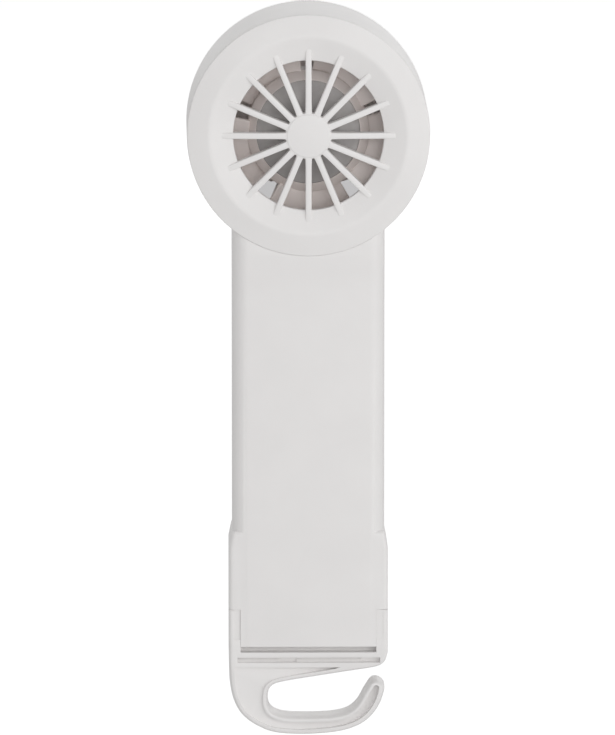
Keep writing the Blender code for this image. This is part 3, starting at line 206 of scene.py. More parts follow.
def milkyPolycarbonate():
    # translucent moulded plastic that spreads the light of the lamps behind it
    material, tree, place = startMaterial("milkyPolycarbonate")
    cloudy = {"Scale": perMetre(milky["cloud"]), "Detail": 2.0}
    cloud = addNode(tree, "TexNoise", cloudy, {"Vector": place}).outputs["Fac"]
    endMaterial(tree, milky["colours"], cloud, {"Roughness": 0.28, "IOR": 1.58, "Transmission Weight": 0.25})
    return material


def solderMask():
    # glass-fibre board under green lacquer, with the copper tracks showing as paler lines
    material, tree, place = startMaterial("solderMask")
    turned = {"Rotation": (math.radians(90), 0, 0)}
    flat = addNode(tree, "Mapping", turned, {"Vector": place}).outputs["Vector"]
    light, dark, track = map(linear, board["colours"])
    layout = {"Scale": perMetre(board["trackPitch"]) / 4, "Mortar Size": 0.035}
    layout.update({"Color1": light, "Color2": dark, "Mortar": track})
    tracks = addNode(tree, "TexBrick", layout, {"Vector": flat}).outputs
    bump = addNode(tree, "Bump", {"Strength": 0.4, "Distance": 0.03 * mm}, {"Height": tracks["Fac"]})
    links = {"Base Color": tracks["Color"], "Normal": bump.outputs["Normal"]}
    shader = addNode(tree, "BsdfPrincipled", {"Roughness": 0.32, "IOR": 1.5}, links)
    addNode(tree, "OutputMaterial", links={"Surface": shader.outputs[0]})
    return material


slotFinishes = {}
for make, looks in ((mouldedPlastic, plastics), (drawnMetal, metals), (speckled, speckles)):
    slotFinishes.update({slot: make(*look) for slot, look in looks.items()})
slotFinishes["clear_plastic"] = milkyPolycarbonate()
slotFinishes["circuit_board"] = solderMask()
print("finishes made")


def dressCadNodes():
    for part in frame["record"]["subparts"]:
        node = frame["nodes"][part["node"]]
        node.data.materials.clear()
        node.data.materials.append(slotFinishes[part["material_slot"]])


dressCadNodes()


# mesh helpers
def meshFrom(bm, name):
    mesh = bpy.data.meshes.new(name)
    bm.to_mesh(mesh)
    bm.free()
    return mesh


def helperFrom(bm):
    return linked("helper", meshFrom(bm, "helper"))


def helper(add, *values):
    bm = bmesh.new()
    add(bm, *values)
    return helperFrom(bm)


def pieceOf(mesh, name, body, slot, node, sharpAngle=32):
    # a finished piece: at the origin, in its finish, riding on its body in place of its CAD node
    piece = linked(name, mesh)
    mesh.name = name
    mesh.materials.clear()
    mesh.materials.append(slotFinishes[slot])
    mesh.shade_smooth()
    mesh.set_sharp_from_angle(angle=math.radians(sharpAngle))
    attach(piece, body)
    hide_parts(node)


def pieceFrom(bm, name, *values):
    pieceOf(meshFrom(bm, name), name, *values)


def joined(bm, add, *values):
    # adds something as a mesh of its own, so that none of its points merge with the rest
    extra = bmesh.new()
    add(extra, *values)
    mesh = meshFrom(extra, "joined")
    bm.from_mesh(mesh)
    bpy.data.meshes.remove(mesh)


def filleted(corners, steps):
    # a line of (radius, depth, rounding) corners, each one rounded; a rounding of 0 keeps it sharp
    line = []
    for i, (*point, rounding) in enumerate(corners):
        here = Vector(point)
        if rounding == 0:
            line.append(tuple(here))
            continue
        toLast = (Vector(corners[i - 1][:2]) - here).normalized()
        toNext = (Vector(corners[(i + 1) % len(corners)][:2]) - here).normalized()
        half = toLast.angle(toNext) / 2
        reach = rounding / math.tan(half)
        centre = here + (toLast + toNext).normalized() * rounding / math.sin(half)
        start = here + toLast * reach - centre
        turn = start.angle_signed(here + toNext * reach - centre)
        for step in range(steps + 1):
            spun = start.copy()
            spun.rotate(Matrix.Rotation(-turn * step / steps, 2))
            line.append(tuple(centre + spun))
    return line


def rounder(points, steps):
    # more points on the smooth curve through the given ones
    line = []
    for i in range(len(points) - 1):
        a, b = Vector(points[i]), Vector(points[i + 1])
        before = Vector(points[i - 1]) if i else a - (b - a)
        after = Vector(points[i + 2]) if i + 2 < len(points) else b + (b - a)
        for step in range(steps):
            t = step / steps
            bend = (2 * before - 5 * a + 4 * b - after) * t * t
            twist = (3 * a - before - 3 * b + after) * t**3
            line.append(tuple(0.5 * (2 * a + (b - before) * t + bend + twist)))
    return line + [tuple(points[-1])]


def addSpun(bm, profile, steps, closed=True, place=None):
    # the profile of (radius, depth) turned about a line along Y, the head's own unless told otherwise
    across, height = place or headPlace
    verts = [bm.verts.new((across + radius, depth, height)) for radius, depth in profile]
    edges = [bm.edges.new(pair) for pair in zip(verts, verts[1:])]
    if closed:
        edges.append(bm.edges.new((verts[-1], verts[0])))
    bmesh.ops.spin(
        bm, geom=verts + edges, cent=(across, 0, height), axis=(0, 1, 0), dvec=(0, 0, 0),
        angle=math.radians(360), steps=steps, use_merge=True, use_normal_flip=False,
        use_duplicate=False,
    )
    bmesh.ops.remove_doubles(bm, verts=bm.verts, dist=0.002 * mm)
    bmesh.ops.recalc_face_normals(bm, faces=bm.faces)


def addTurned(bm, corners, fine, steps, closed=True, place=None):
    addSpun(bm, filleted(corners, fine), steps, closed, place)


def repeatRound(bm, count):
    # the mesh copied round the head's middle line
    bmesh.ops.spin(
        bm,
        geom=bm.verts[:] + bm.edges[:] + bm.faces[:],
        cent=(0, *headPlace), axis=(0, 1, 0), dvec=(0, 0, 0),
        angle=math.radians(360 - 360 / count),
        steps=count - 1, use_merge=False, use_normal_flip=False, use_duplicate=True,
    )
    bmesh.ops.recalc_face_normals(bm, faces=bm.faces)


def aroundHead(radius, angle):
    turn = math.radians(angle)
    return radius * math.cos(turn), drum.height + radius * math.sin(turn)


def softened(bm, edges, offset, segments, clamp=True):
    bmesh.ops.bevel(
        bm, geom=edges, offset=offset, offset_type="OFFSET", segments=segments, profile=0.5,
        affect="EDGES", clamp_overlap=clamp, material=-1,
    )


def edgesSharperThan(bm, angle):
    return [edge for edge in bm.edges if edge.calc_face_angle(0) > math.radians(angle)]


def isAlong(edge, axis):
    way = (edge.verts[1].co - edge.verts[0].co).normalized()
    return abs(way[axis]) > 0.999


def both(half):
    return -half, half


def addBlock(bm, across, depths, heights, radius=0, segments=3, wanted=None):
    # a box between two places on each axis, with all its edges or the wanted ones rounded
    low, high = (Vector(corner) for corner in zip(across, depths, heights))
    made = bmesh.ops.create_cube(bm, size=1)["verts"]
    bmesh.ops.scale(bm, vec=high - low, verts=made)
    bmesh.ops.translate(bm, vec=(low + high) / 2, verts=made)
    if radius:
        softened(bm, [edge for edge in bm.edges if not wanted or wanted(edge)], radius, segments)


def block(across, depths, heights, edge=0, segments=3, axis=None):
    wanted = (lambda e: isAlong(e, axis)) if axis is not None else None
    return helper(addBlock, across, depths, heights, edge, segments, wanted)


def rod(radius, rear, front, place, steps):
    return helper(addSpun, ((0, rear), (radius, rear), (radius, front), (0, front)), steps, False, place)


def prism(points, low, high, seenFrom, edge=0, segments=6, sharper=50):
    # a flat outline of (depth, height) seen from the side, or (across, height) from the rear, pushed out
    bm = bmesh.new()
    if seenFrom == "side":
        verts = [bm.verts.new((low, depth, height)) for depth, height in points]
        push = (high - low, 0, 0)
    else:
        verts = [bm.verts.new((across, low, height)) for across, height in points]
        push = (0, high - low, 0)
    face = bm.faces.new(verts)
    pushed = bmesh.ops.extrude_face_region(bm, geom=[face])["geom"]
    moved = [item for item in pushed if isinstance(item, bmesh.types.BMVert)]
    bmesh.ops.translate(bm, vec=push, verts=moved)
    if face.is_valid and all(len(e.link_faces) != 2 for e in face.edges):
        bm.faces.new(verts)
    bmesh.ops.recalc_face_normals(bm, faces=bm.faces)
    if edge:
        softened(bm, edgesSharperThan(bm, sharper), edge, segments, False)
    return helperFrom(bm)


def worked(body, *steps):
    # the body's mesh after each step's tools are joined to it, cut from it or laid over it
    tools = []
    for operation, group in steps:
        for tool in group:
            step = body.modifiers.new(tool.name, "BOOLEAN")
            step.operation, step.solver, step.object = operation, "EXACT", tool
            tools.append(tool)
    bpy.context.view_layer.update()
    graph = bpy.context.evaluated_depsgraph_get()
    mesh = bpy.data.meshes.new_from_object(body.evaluated_get(graph))
    for gone in (body, *tools):
        bpy.data.objects.remove(gone, do_unlink=True)
    return mesh


# head; from here on sizes are in mm, depths run from the intake at -Y to the outlet,
# and the corners of a turned shape are given as radius, depth and rounding
head = {
    "height": 152,
    "drumRadius": 30.3, "drumInner": 28.5, "drumRear": -15.2, "drumFront": 18, "drumEdge": 0.15,
    "frontRound": 4.5, "frontWall": 1.8,
    "lipRadius": 25.6, "lipWidth": 0.5,
    "lugOut": 26.8,  # the lugs that hold the duct
    "lugAngles": (90, 210, 330),
    "stepCount": 192,
}
drum = sized(head)
headPlace = (0, drum.height)
lugPlaces = [aroundHead(drum.lugOut, angle) for angle in drum.lugAngles]

intake = {
    "discShape": (  # from the rim over the crest and the opening to the skirt
        (30.25, -15.25, 0), (30.25, -16.9, 0.3), (24.7, -18, 3.2), (18.75, -16.3, 0.35), (18.75, -14.5, 0.2),
        (19.65, -14.5, 0.2), (24.7, -15.85, 1), (25.5, -15.25, 0), (25.5, -12.2, 0.2), (26.5, -12.2, 0.2),
        (26.5, -15.25, 0),
    ),
    "hubRadius": 5.4, "hubRound": 0.22, "hubBack": -14.7,
    "webRadius": 5.63,
    "gapEnd": 0.33,  # radius of the round end of each gap
    "rootStart": 5.53, "rootWiden": 0.08, "rootReach": 8.5,
    "rootCutShares": (0, 0.06, 0.15, 0.3, 0.5, 0.75, 1),
    "spokeCount": 16, "spokeHalf": 0.75, "spokeRound": 0.28,
    "spokeMiddle": -16,  # depth between a spoke's front and its back
    "spokeDrop": 0.16,  # below the hub's face
    "spokeFlat": 8,  # where a spoke starts to fall towards the dish
    "spokeEnd": 22,
    "spokeSink": 0.12,  # how far the end dips under the dish
    "spokeTuck": (0.3, 0.9),  # past the opening the back rises into the dish
    "spokeCuts": (6.5, 7.2, 8.5, 11, 14, 16, 17.5, 18.5, 19.5, 20.4, 21.2),
    "fallPower": 1.4,
}


def rootHalfWidth(g, out):
    # half a spoke's width near the hub: a slight widening, then the round end of the gap beside it
    middle = g.webRadius + g.gapEnd
    share = max(0, (g.rootReach - out) / (g.rootReach - middle))
    plain = g.spokeHalf + g.rootWiden * min(1, share) ** 2
    if out >= middle:
        return plain
    reach = min(middle - out, g.gapEnd)
    return max(plain, out * math.sin(math.pi / g.spokeCount) - math.sqrt(g.gapEnd**2 - reach**2))


def addSpokes(bm, g):
    # one spoke, rounded into the hub and laid along the dish, then turned round the head
    (crestRadius, crestDepth, _), (openingRadius, openingDepth, _) = g.discShape[2:4]
    top = crestDepth + g.spokeDrop
    heights = (drum.height + g.rootStart, drum.height + g.spokeEnd)

    def isInFront(edge):
        return isAlong(edge, 2) and edge.verts[0].co.y < g.spokeMiddle

    addBlock(bm, both(g.spokeHalf), (top, g.hubBack), heights, g.spokeRound, 3, isInFront)
    for out in (*[g.webRadius + g.gapEnd * share for share in g.rootCutShares], *g.spokeCuts):
        whole = bm.verts[:] + bm.edges[:] + bm.faces[:]
        bmesh.ops.bisect_plane(bm, geom=whole, plane_co=(0, 0, drum.height + out), plane_no=(0, 0, 1))
    slope = (openingDepth - crestDepth) / (crestRadius - openingRadius)
    dish = crestDepth + slope * (crestRadius - g.spokeEnd)
    tuckStart, tuckDepth = g.spokeTuck
    for vert in bm.verts:
        out = vert.co.z - drum.height
        if out < g.rootReach and abs(vert.co.x) > g.spokeHalf / 3:
            vert.co.x += math.copysign(rootHalfWidth(g, out) - g.spokeHalf, vert.co.x)
        if vert.co.y < g.spokeMiddle:
            fall = max(0, out - g.spokeFlat) / (g.spokeEnd - g.spokeFlat)
            vert.co.y += (dish + g.spokeSink - top) * fall**g.fallPower
        elif out > openingRadius + tuckStart:
            vert.co.y = openingDepth + tuckDepth
    repeatRound(bm, g.spokeCount)


def makeIntakeGrille():
    g = sized(intake)
    bm = bmesh.new()
    addTurned(bm, g.discShape, 8, drum.stepCount)
    face = g.discShape[2][1]
    for radius, depth, fine in ((g.hubRadius, face, 5), (g.webRadius, face + g.spokeDrop, 4)):
        disc = ((0, g.hubBack, 0), (radius, g.hubBack, 0), (radius, depth, g.hubRound), (0, depth, 0))
        joined(bm, addTurned, disc, fine, 96, False)
    joined(bm, addSpokes, g)
    pieceFrom(bm, "intakeGrille", "housing", "white_plastic", "intake_grille", 30)


makeIntakeGrille()
print("intake grille made")

outlet = {
    "ringShape": (
        (25.3, 17.8, 0.45), (25.3, 15.2, 0.15), (23.7, 15.2, 0), (23.7, 12.6, 0.2), (22.9, 12.6, 0.2),
        (22.9, 15.2, 0), (23.4, 17.8, 0.45),
    ),
    "hubShape": ((0, 17.45, 0), (7, 17.6, 3), (10.5, 17.8, 0.45), (10.5, 15.2, 0.2), (0, 15.2, 0)),
    "middleShape": ((17.65, 17.4, 0.3), (17.65, 15.4, 0.2), (16.25, 15.4, 0.2), (16.25, 17.4, 0.3)),
    "barCount": 16, "barHalf": 0.7, "barDepths": (15.2, 17.6),
    "barReach": (9.7, 23.9),  # from inside the hub to inside the ring
    "barEdge": 0.3,
}


def addBars(bm, g):
    heights = [drum.height + out for out in g.barReach]
    addBlock(bm, both(g.barHalf), g.barDepths, heights, g.barEdge, 3, lambda edge: isAlong(edge, 2))
    repeatRound(bm, g.barCount)


def makeOutletGrille():
    g = sized(outlet)
    bm = bmesh.new()
    addTurned(bm, g.ringShape, 6, drum.stepCount)
    joined(bm, addTurned, g.hubShape, 6, 128, False)
    joined(bm, addTurned, g.middleShape, 4, 128)
    joined(bm, addBars, g)
    pieceFrom(bm, "outletGrille", "housing", "white_plastic", "outlet_grille", 30)


makeOutletGrille()
print("outlet grille made")

duct = {
    "wallShape": ((25.2, -13, 0.25), (25.2, 14.2, 0.25), (24, 14.2, 0.25), (24, -13, 0.25)),
    "cupShape": (
        (11.5, 11, 0.25), (11.5, 3.9, 0.5), (3.3, 3.9, 0), (3.3, 5.1, 0), (10.5, 5.1, 0.3), (10.5, 11, 0.25),
    ),
    "vaneCount": 7,
    "vaneReach": (11, 24.5),  # from inside the cup's wall to inside the duct's
    "vaneDepths": (4.6, 9.8),
    "vaneNarrows": (16.5, 17.3),  # between these radii a vane narrows from its root's angle to its tip's
    "vaneRootAngle": 49, "vaneTipAngle": 19, "vaneStartAngle": 269.7, "vaneCurvePower": 1.35,
    "vaneThickness": 0.9, "vaneEdge": 0.28,
    "lugRadius": 1.5, "lugHole": 0.85, "lugDepths": (9, 10.5),
    "slotHalf": 2.2,  # the slots let the motor's wires through
    "slotEdge": 0.4,
    "floorSlot": ((2.9, 6.1), (144.9, 147.1)),  # depths and heights
    "wallSlot": ((11.1, 13.3), (124.8, 130)),
}


def vanePoint(g, along, out):
    # guide vanes lean the other way than the blades, to straighten the air that the blades turn
    root, tip = g.vaneReach
    radius = root + out * (tip - root)
    start, end = g.vaneNarrows
    narrowed = min(1, max(0, (radius - start) / (end - start)))
    span = g.vaneRootAngle + (g.vaneTipAngle - g.vaneRootAngle) * narrowed
    turn = math.radians(g.vaneStartAngle + (0.5 - along) * span)
    low, high = g.vaneDepths
    return radius * math.cos(turn), low + (high - low) * along**g.vaneCurvePower, radius * math.sin(turn)


def isAroundHead(edge):
    # an edge that keeps its distance from the head's middle line
    out = [math.hypot(vert.co.x, vert.co.z - drum.height) for vert in edge.verts]
    return abs(out[0] - out[1]) < 0.1 * mm


def addVanes(bm, g):
    for i in range(g.vaneCount):
        made = bmesh.ops.create_grid(bm, x_segments=20, y_segments=14, size=1)["verts"]
        faces = list({face for vert in made for face in vert.link_faces})
        for vert in made:
            vert.co = vanePoint(g, (vert.co.x + 1) / 2, (vert.co.y + 1) / 2)
        turn = Matrix.Rotation(math.radians(360 / g.vaneCount * i), 3, "Y")
        bmesh.ops.rotate(bm, cent=(0, 0, 0), matrix=turn, verts=made)
        bmesh.ops.translate(bm, vec=(0, *headPlace), verts=made)
        bmesh.ops.recalc_face_normals(bm, faces=faces)
        bmesh.ops.solidify(bm, geom=faces, thickness=g.vaneThickness)
    bmesh.ops.recalc_face_normals(bm, faces=bm.faces)
    softened(bm, [edge for edge in edgesSharperThan(bm, 60) if not isAroundHead(edge)], g.vaneEdge, 3)


def makeDuct():
    g = sized(duct)
    low, high = g.lugDepths
    lugs = [rod(g.lugRadius, low, high, place, 32) for place in lugPlaces]
    holes = [rod(g.lugHole, low - past, high + past, place, 24) for place in lugPlaces]
    slots = [
        block(both(g.slotHalf), *slot, g.slotEdge, 3, axis)
        for slot, axis in ((g.floorSlot, 1), (g.wallSlot, 2))
    ]
    cup = helper(addTurned, g.cupShape, 4, 128)
    steps = (("UNION", (cup, helper(addVanes, g), *lugs)), ("DIFFERENCE", (*holes, *slots)))
    mesh = worked(helper(addTurned, g.wallShape, 4, drum.stepCount), *steps)
    pieceOf(mesh, "ductHousing", "housing", "inner_plastic", "duct_housing")


makeDuct()
print("duct made")

# handle
handle = {
    "halfWidth": 19.05, "rear": -15.6, "front": 6.4, "bottom": 22.6, "top": 138.5, "edge": 4,
    "wall": 1.8, "chestEdge": 2.4, "footTop": 38.9,
    "split": -2, "splitGap": 0.15,
    "lipDepths": (-2, 1.1), "lipRoot": -0.3,  # from the split
    "lipHeights": (34.2, 135.5), "lipThick": 0.6, "lipClear": 0.06,
    "sweepStart": 111, "sweepRise": 11, "sweepRear": 1, "sweepFront": 1.6,
    "sweepShares": ((0, 0), (0.25, 0.12), (0.5, 0.4), (0.75, 0.75), (1, 1)),
    "flareHalfWidth": 19.9, "flareFull": 47.6, "flareTop": 51.9, "flareEdge": 1, "flareInset": 0.05,
    "notchHalfWidth": 17, "notchTop": 32.1,
    "footHalfWidth": 15.2,
    "stops": ((33.3, 34.5), (84.5, 85.7)),
    "stopHalfWidth": 8, "stopReach": 4.2,
    "port": (4.77, 1.9, -1.9), "portEdge": 1.7,
    "headHoles": (30.29, 30.35),  # round the intake disc and round the drum
    "buttonHeight": 104.5, "buttonHole": 5.75,
    "pipeHeight": 88.5, "pipeHalf": (6.05, 0.9),
    "cutDepths": (0.8, 20),  # through the front wall
    "windowHalfWidth": 4, "windowRear": 0.5,
    "windowTop": 25.6,  # under the head's middle line
}
bosses = {
    "boardRadius": 2.2, "boardBore": 0.95, "boardRear": 0.95, "boardBoreDepths": (0.5, 3.8),
    "boardPlaces": ((-10.3, 38.5), (10.3, 38.5), (-10.3, 101.5), (10.3, 101.5)),
    "lugRadius": 1.3, "lugBore": 0.85, "lugRear": 10.7, "lugBoreDepths": (10, 14.8),
}


def handleSide(h, inset, bottom):
    rear, front = h.rear + inset, h.front - inset
    curve = [(h.sweepStart + along * h.sweepRise, out) for along, out in rounder(h.sweepShares, 4)]
    points = [(front, bottom)]
    points += [(front + out * h.sweepFront, height) for height, out in curve]
    points += [(front + h.sweepFront, h.top), (rear - h.sweepRear, h.top)]
    points += [(rear - out * h.sweepRear, height) for height, out in reversed(curve)]
    return points + [(rear, bottom)]


def wholeHandle():
    h = sized(handle)
    far = 80 * mm
    below = h.bottom - 2 * h.edge
    body = prism(handleSide(h, 0, below), *both(h.halfWidth), "side", h.edge, 10)
    right = [(h.flareHalfWidth, below), (h.flareHalfWidth, h.flareFull), (h.halfWidth, h.flareTop)]
    left = [(-across, height) for across, height in reversed(right)]
    flareDepths = (h.rear + h.flareInset, h.front - h.flareInset)
    flare = prism(left + right, *flareDepths, "rear", h.flareEdge, 5, 70)
    ledge = h.notchTop + h.wall
    chest = prism(handleSide(h, h.wall, ledge), *both(h.halfWidth - h.wall), "side", h.chestEdge, 4)
    footHeights = (h.bottom + h.wall, h.footTop)
    foot = block(both(h.footHalfWidth), (h.rear + h.wall, h.front - h.wall), footHeights)
    floorCut = block(both(far), both(far), (-far, h.bottom))
    notches = [
        block(across, both(far), (-far, h.notchTop))
        for across in ((-far, -h.notchHalfWidth), (h.notchHalfWidth, far))
    ]
    halfWide, halfDeep, depth = h.port
    portHeights = (h.bottom - past, h.bottom + h.wall + overlap)
    port = block(both(halfWide), (depth - halfDeep, depth + halfDeep), portHeights, h.portEdge, 6, 2)
    return worked(body, ("UNION", (flare,)), ("DIFFERENCE", (chest, foot, floorCut, *notches, port)))


def halfOf(whole, isFront):
    h = sized(handle)
    far = 300 * mm
    depths = (h.split + h.splitGap / 2, far) if isFront else (-far, h.split - h.splitGap / 2)
    return linked("handleHalf", whole.copy()), ("INTERSECT", (block(both(far), depths, both(far)),))


def seamLips(h):
    # the inner lip of the rear half that reaches past the seam and closes it
    back, ahead = h.lipDepths
    outer = h.halfWidth - h.wall - h.lipClear
    lips = []
    for side in (-1, 1):
        for reach, front in ((outer, ahead), (outer + overlap, h.lipRoot)):
            across = sorted((side * (outer - h.lipThick), side * reach))
            lips.append(block(across, (h.split + back, h.split + front), h.lipHeights))
    return lips


def makeRearShell(whole):
    # the rear half of the handle, let in round the head's wall and under the intake disc
    h = sized(handle)
    half, keep = halfOf(whole, False)
    far = 40 * mm
    disc, wall = h.headHoles
    profile = ((0, -far), (disc, -far), (disc, drum.drumRear), (wall, drum.drumRear), (wall, far), (0, far))
    hole = helper(addSpun, profile, drum.stepCount, False)
    stopDepths = (h.rear + h.wall - overlap, h.rear + h.wall + h.stopReach)
    mesh = worked(
        half, keep,
        ("UNION", seamLips(h)),
        ("DIFFERENCE", (hole,)),
        ("UNION", [block(both(h.stopHalfWidth), stopDepths, heights) for heights in h.stops]),
    )
    pieceOf(mesh, "rearShell", "housing", "white_plastic", "rear_shell")


def drumProfile(g):
    lip, front, edge = g.lipRadius + g.lipWidth, g.drumFront, g.drumEdge
    roundStart, wallFront = front - g.frontRound, front - g.frontWall
    points = [(g.lipRadius, front - edge), (g.lipRadius + edge, front), (lip, front)]
    steps = 14
    for i in range(1, steps + 1):
        turn = math.radians(90) * i / steps
        out = lip + (g.drumRadius - lip) * math.sin(turn)
        points.append((out, roundStart + g.frontRound * math.cos(turn)))
    points += [(g.drumRadius, g.drumRear + edge), (g.drumRadius - edge, g.drumRear)]
    return points + [(g.drumInner, g.drumRear), (g.drumInner, wallFront), (g.lipRadius, wallFront)]


def frontBosses(h):
    # the posts that the board and the duct are screwed to, and their bores
    b = sized(bosses)
    boardFront = h.front - h.wall + overlap
    lugFront = drum.drumFront - drum.frontWall + overlap
    posts, bores = [], []
    for place in b.boardPlaces:
        posts.append(rod(b.boardRadius, b.boardRear, boardFront, place, 32))
        bores.append(rod(b.boardBore, *b.boardBoreDepths, place, 24))
    for place in lugPlaces:
        posts.append(rod(b.lugRadius, b.lugRear, lugFront, place, 24))
        bores.append(rod(b.lugBore, *b.lugBoreDepths, place, 20))
    return posts, bores


def makeFrontShell(whole):
    # the front half of the handle in one piece with the head's wall
    h = sized(handle)
    half, keep = halfOf(whole, True)
    far = 40 * mm
    hole = rod((drum.drumRadius + drum.drumInner) / 2, -far, far, headPlace, drum.stepCount)
    wall = helper(addSpun, drumProfile(drum), drum.stepCount)
    posts, bores = frontBosses(h)
    halfWide, halfHigh = h.pipeHalf
    pipeHeights = (h.pipeHeight - halfHigh, h.pipeHeight + halfHigh)
    pipeSlot = block(both(halfWide), h.cutDepths, pipeHeights, halfHigh * fullRound, 6, 1)
    buttonHole = rod(h.buttonHole, *h.cutDepths, (0, h.buttonHeight), 96)
    windowHeights = (drum.height - drum.drumRadius - overlap, drum.height - h.windowTop)
    wireWindow = block(both(h.windowHalfWidth), (h.windowRear, h.front - h.wall), windowHeights)
    mesh = worked(
        half, keep,
        ("DIFFERENCE", (hole,)),
        ("UNION", (wall,)),
        ("DIFFERENCE", (wireWindow,)),
        ("UNION", posts),
        ("DIFFERENCE", (*bores, pipeSlot, buttonHole)),
    )
    pieceOf(mesh, "frontShell", "housing", "white_plastic", "front_shell")


handleMesh = wholeHandle()
makeRearShell(handleMesh)
makeFrontShell(handleMesh)
bpy.data.meshes.remove(handleMesh)
print("handle and drum made")

# hook cap
cap = {
    "rear": -15.4, "front": 6.4, "halfWidth": 19.9,
    "armInner": 17.02, "armTop": 32.04,
    "plateTop": 21.1,
    "roll": 0.75,
    "rollDepth": 2.6,  # on the hook itself
    "rollHeights": (14, 20),
    "seamRoll": 0.04, "frontEdge": 0.6, "rimEdge": 0.4,
    "slot": (18.45, 19.8), "slotAcross": (-17.8, 18), "slotDepth": 1.6, "slotStep": 0.72,
    "slotSlope": (0.5, 0.25),  # how far its lower edge drops outside and rises inside
    "windows": ((-7.2, -3), (13.2, 17.9)),
    "windowDepth": 1.5, "windowInset": (0.15, 0.12),
    "roof": 17.3,
    "coreDepths": (0.4, 2.4), "coreFillet": 0.5,
    "filletTop": 9,  # right of the middle the hollow's floor keeps a sharp edge above this
    "outerRim": 1.4, "innerRim": 1.25,
    "pocketAcross": (17, 18.75), "pocketBottom": 24.4, "pocketDepths": (0.3, 0.12),
    "tongueDepths": (-12.4, 6.3), "tongueTop": 22.45,
    "hookFront": -7, "taper": (15.8, 19.7), "reach": 19.5, "drop": 17.5,
    # the hook seen from the rear, in shares of its reach and its drop
    "outerShares": (
        (-1.02, 0.943), (-1.018, 0.856), (-1.012, 0.768), (-1.001, 0.681), (-0.986, 0.593), (-0.962, 0.505),
        (-0.929, 0.418), (-0.882, 0.33), (-0.811, 0.242), (-0.704, 0.154), (-0.567, 0.075), (-0.464, 0.037),
        (-0.361, 0.016), (-0.257, 0.006), (-0.154, 0.001), (-0.051, 0), (0.052, 0.003), (0.155, 0.01),
        (0.258, 0.02), (0.361, 0.035), (0.464, 0.058), (0.567, 0.093), (0.682, 0.152), (0.781, 0.235),
        (0.853, 0.324), (0.904, 0.412), (0.94, 0.499), (0.965, 0.587), (0.98, 0.66),
    ),
    "tipShares": (
        (0.977, 0.7), (0.953, 0.744), (0.92, 0.77), (0.878, 0.785), (0.836, 0.782), (0.804, 0.762),
    ),
    "innerShares": (
        (0.781, 0.732), (0.752, 0.684), (0.726, 0.637), (0.703, 0.593), (0.684, 0.549), (0.662, 0.506),
        (0.637, 0.462), (0.6, 0.412), (0.548, 0.362), (0.484, 0.323), (0.405, 0.296), (0.31, 0.278),
        (0.206, 0.268), (0.051, 0.262), (-0.104, 0.262), (-0.24, 0.267), (-0.336, 0.281), (-0.41, 0.307),
        (-0.462, 0.341), (-0.494, 0.381), (-0.513, 0.427), (-0.521, 0.49), (-0.523, 0.56), (-0.516, 0.62),
        (-0.5, 0.671), (-0.468, 0.712), (-0.418, 0.741), (-0.35, 0.762), (-0.264, 0.781), (-0.161, 0.801),
        (-0.058, 0.82), (0.148, 0.857), (0.354, 0.894), (0.56, 0.93), (0.766, 0.965), (0.869, 0.988),
    ),
    "cornerShares": ((0.92, 1.01), (0.962, 1.045), (0.992, 1.093), (1.008, 1.15)),
}


def hookLine(c, *names):
    points = [point for name in names for point in cap[name + "Shares"]]
    return rounder([(across * c.reach, up * c.drop) for across, up in points], 3)


def besideLine(path, distance):
    moved = []
    for i, point in enumerate(path):
        before, after = Vector(path[max(i - 1, 0)]), Vector(path[min(i + 1, len(path) - 1)])
        along = (after - before).normalized()
        moved.append((point[0] - along.y * distance, point[1] + along.x * distance))
    return moved


def capOutline(c):
    arm = [(c.armInner, c.plateTop), (c.armInner, c.armTop), (c.halfWidth, c.armTop)]
    left = [(-across, height) for across, height in arm] + [(-c.halfWidth, c.slot[1])]
    return left + hookLine(c, "outer", "tip", "inner", "corner") + [(c.halfWidth, c.plateTop)] + arm[::-1]


def coreOutline(c):
    # the hollow between the hook's outer and inner rims, with a round end towards the tip
    outer = [p for p in besideLine(hookLine(c, "outer"), c.outerRim) if p[1] < c.roof - c.outerRim / 2]
    inner = [p for p in besideLine(hookLine(c, "inner"), c.innerRim) if p[1] < c.roof - c.innerRim / 4]
    start, end = Vector(outer[-1]), Vector(inner[0])
    middle, half = (start + end) / 2, (end - start) / 2
    up = Vector((half.y, -half.x)) * (1 if half.x < 0 else -1)
    turns = [math.radians(180 * step / 8) for step in range(1, 8)]
    roundEnd = [tuple(middle - half * math.cos(turn) + up * math.sin(turn)) for turn in turns]
    return [(outer[0][0], c.roof)] + outer + roundEnd + inner + [(inner[-1][0] + c.innerRim, c.roof)]


def inwardSteps(points):
    # for each corner of an outline, the way inwards that keeps its sides parallel
    area = sum(a[0] * b[1] - b[0] * a[1] for a, b in zip(points, points[1:] + points[:1]))
    side = 1 if area > 0 else -1
    steps = []
    for i, here in enumerate(points):
        before, after = Vector(points[i - 1]), Vector(points[(i + 1) % len(points)])
        first = (Vector(here) - before).normalized()
        second = (after - Vector(here)).normalized()
        first, second = (Vector((-way.y, way.x)) * side for way in (first, second))
        steps.append((first + second) / max(0.4, 1 + first.dot(second)))
    return steps


def capRolls(c, point):
    # how far the rear edge rolls in and how deep the roll goes, by place on the outline
    across, height = point
    if height > c.plateTop - 0.01 * mm and abs(across) < c.armInner + 0.01 * mm:
        return c.seamRoll, c.seamRoll
    low, high = c.rollHeights
    share = min(1, max(0, (high - height) / (high - low)))
    return c.roll, c.roll + (c.rollDepth - c.roll) * share


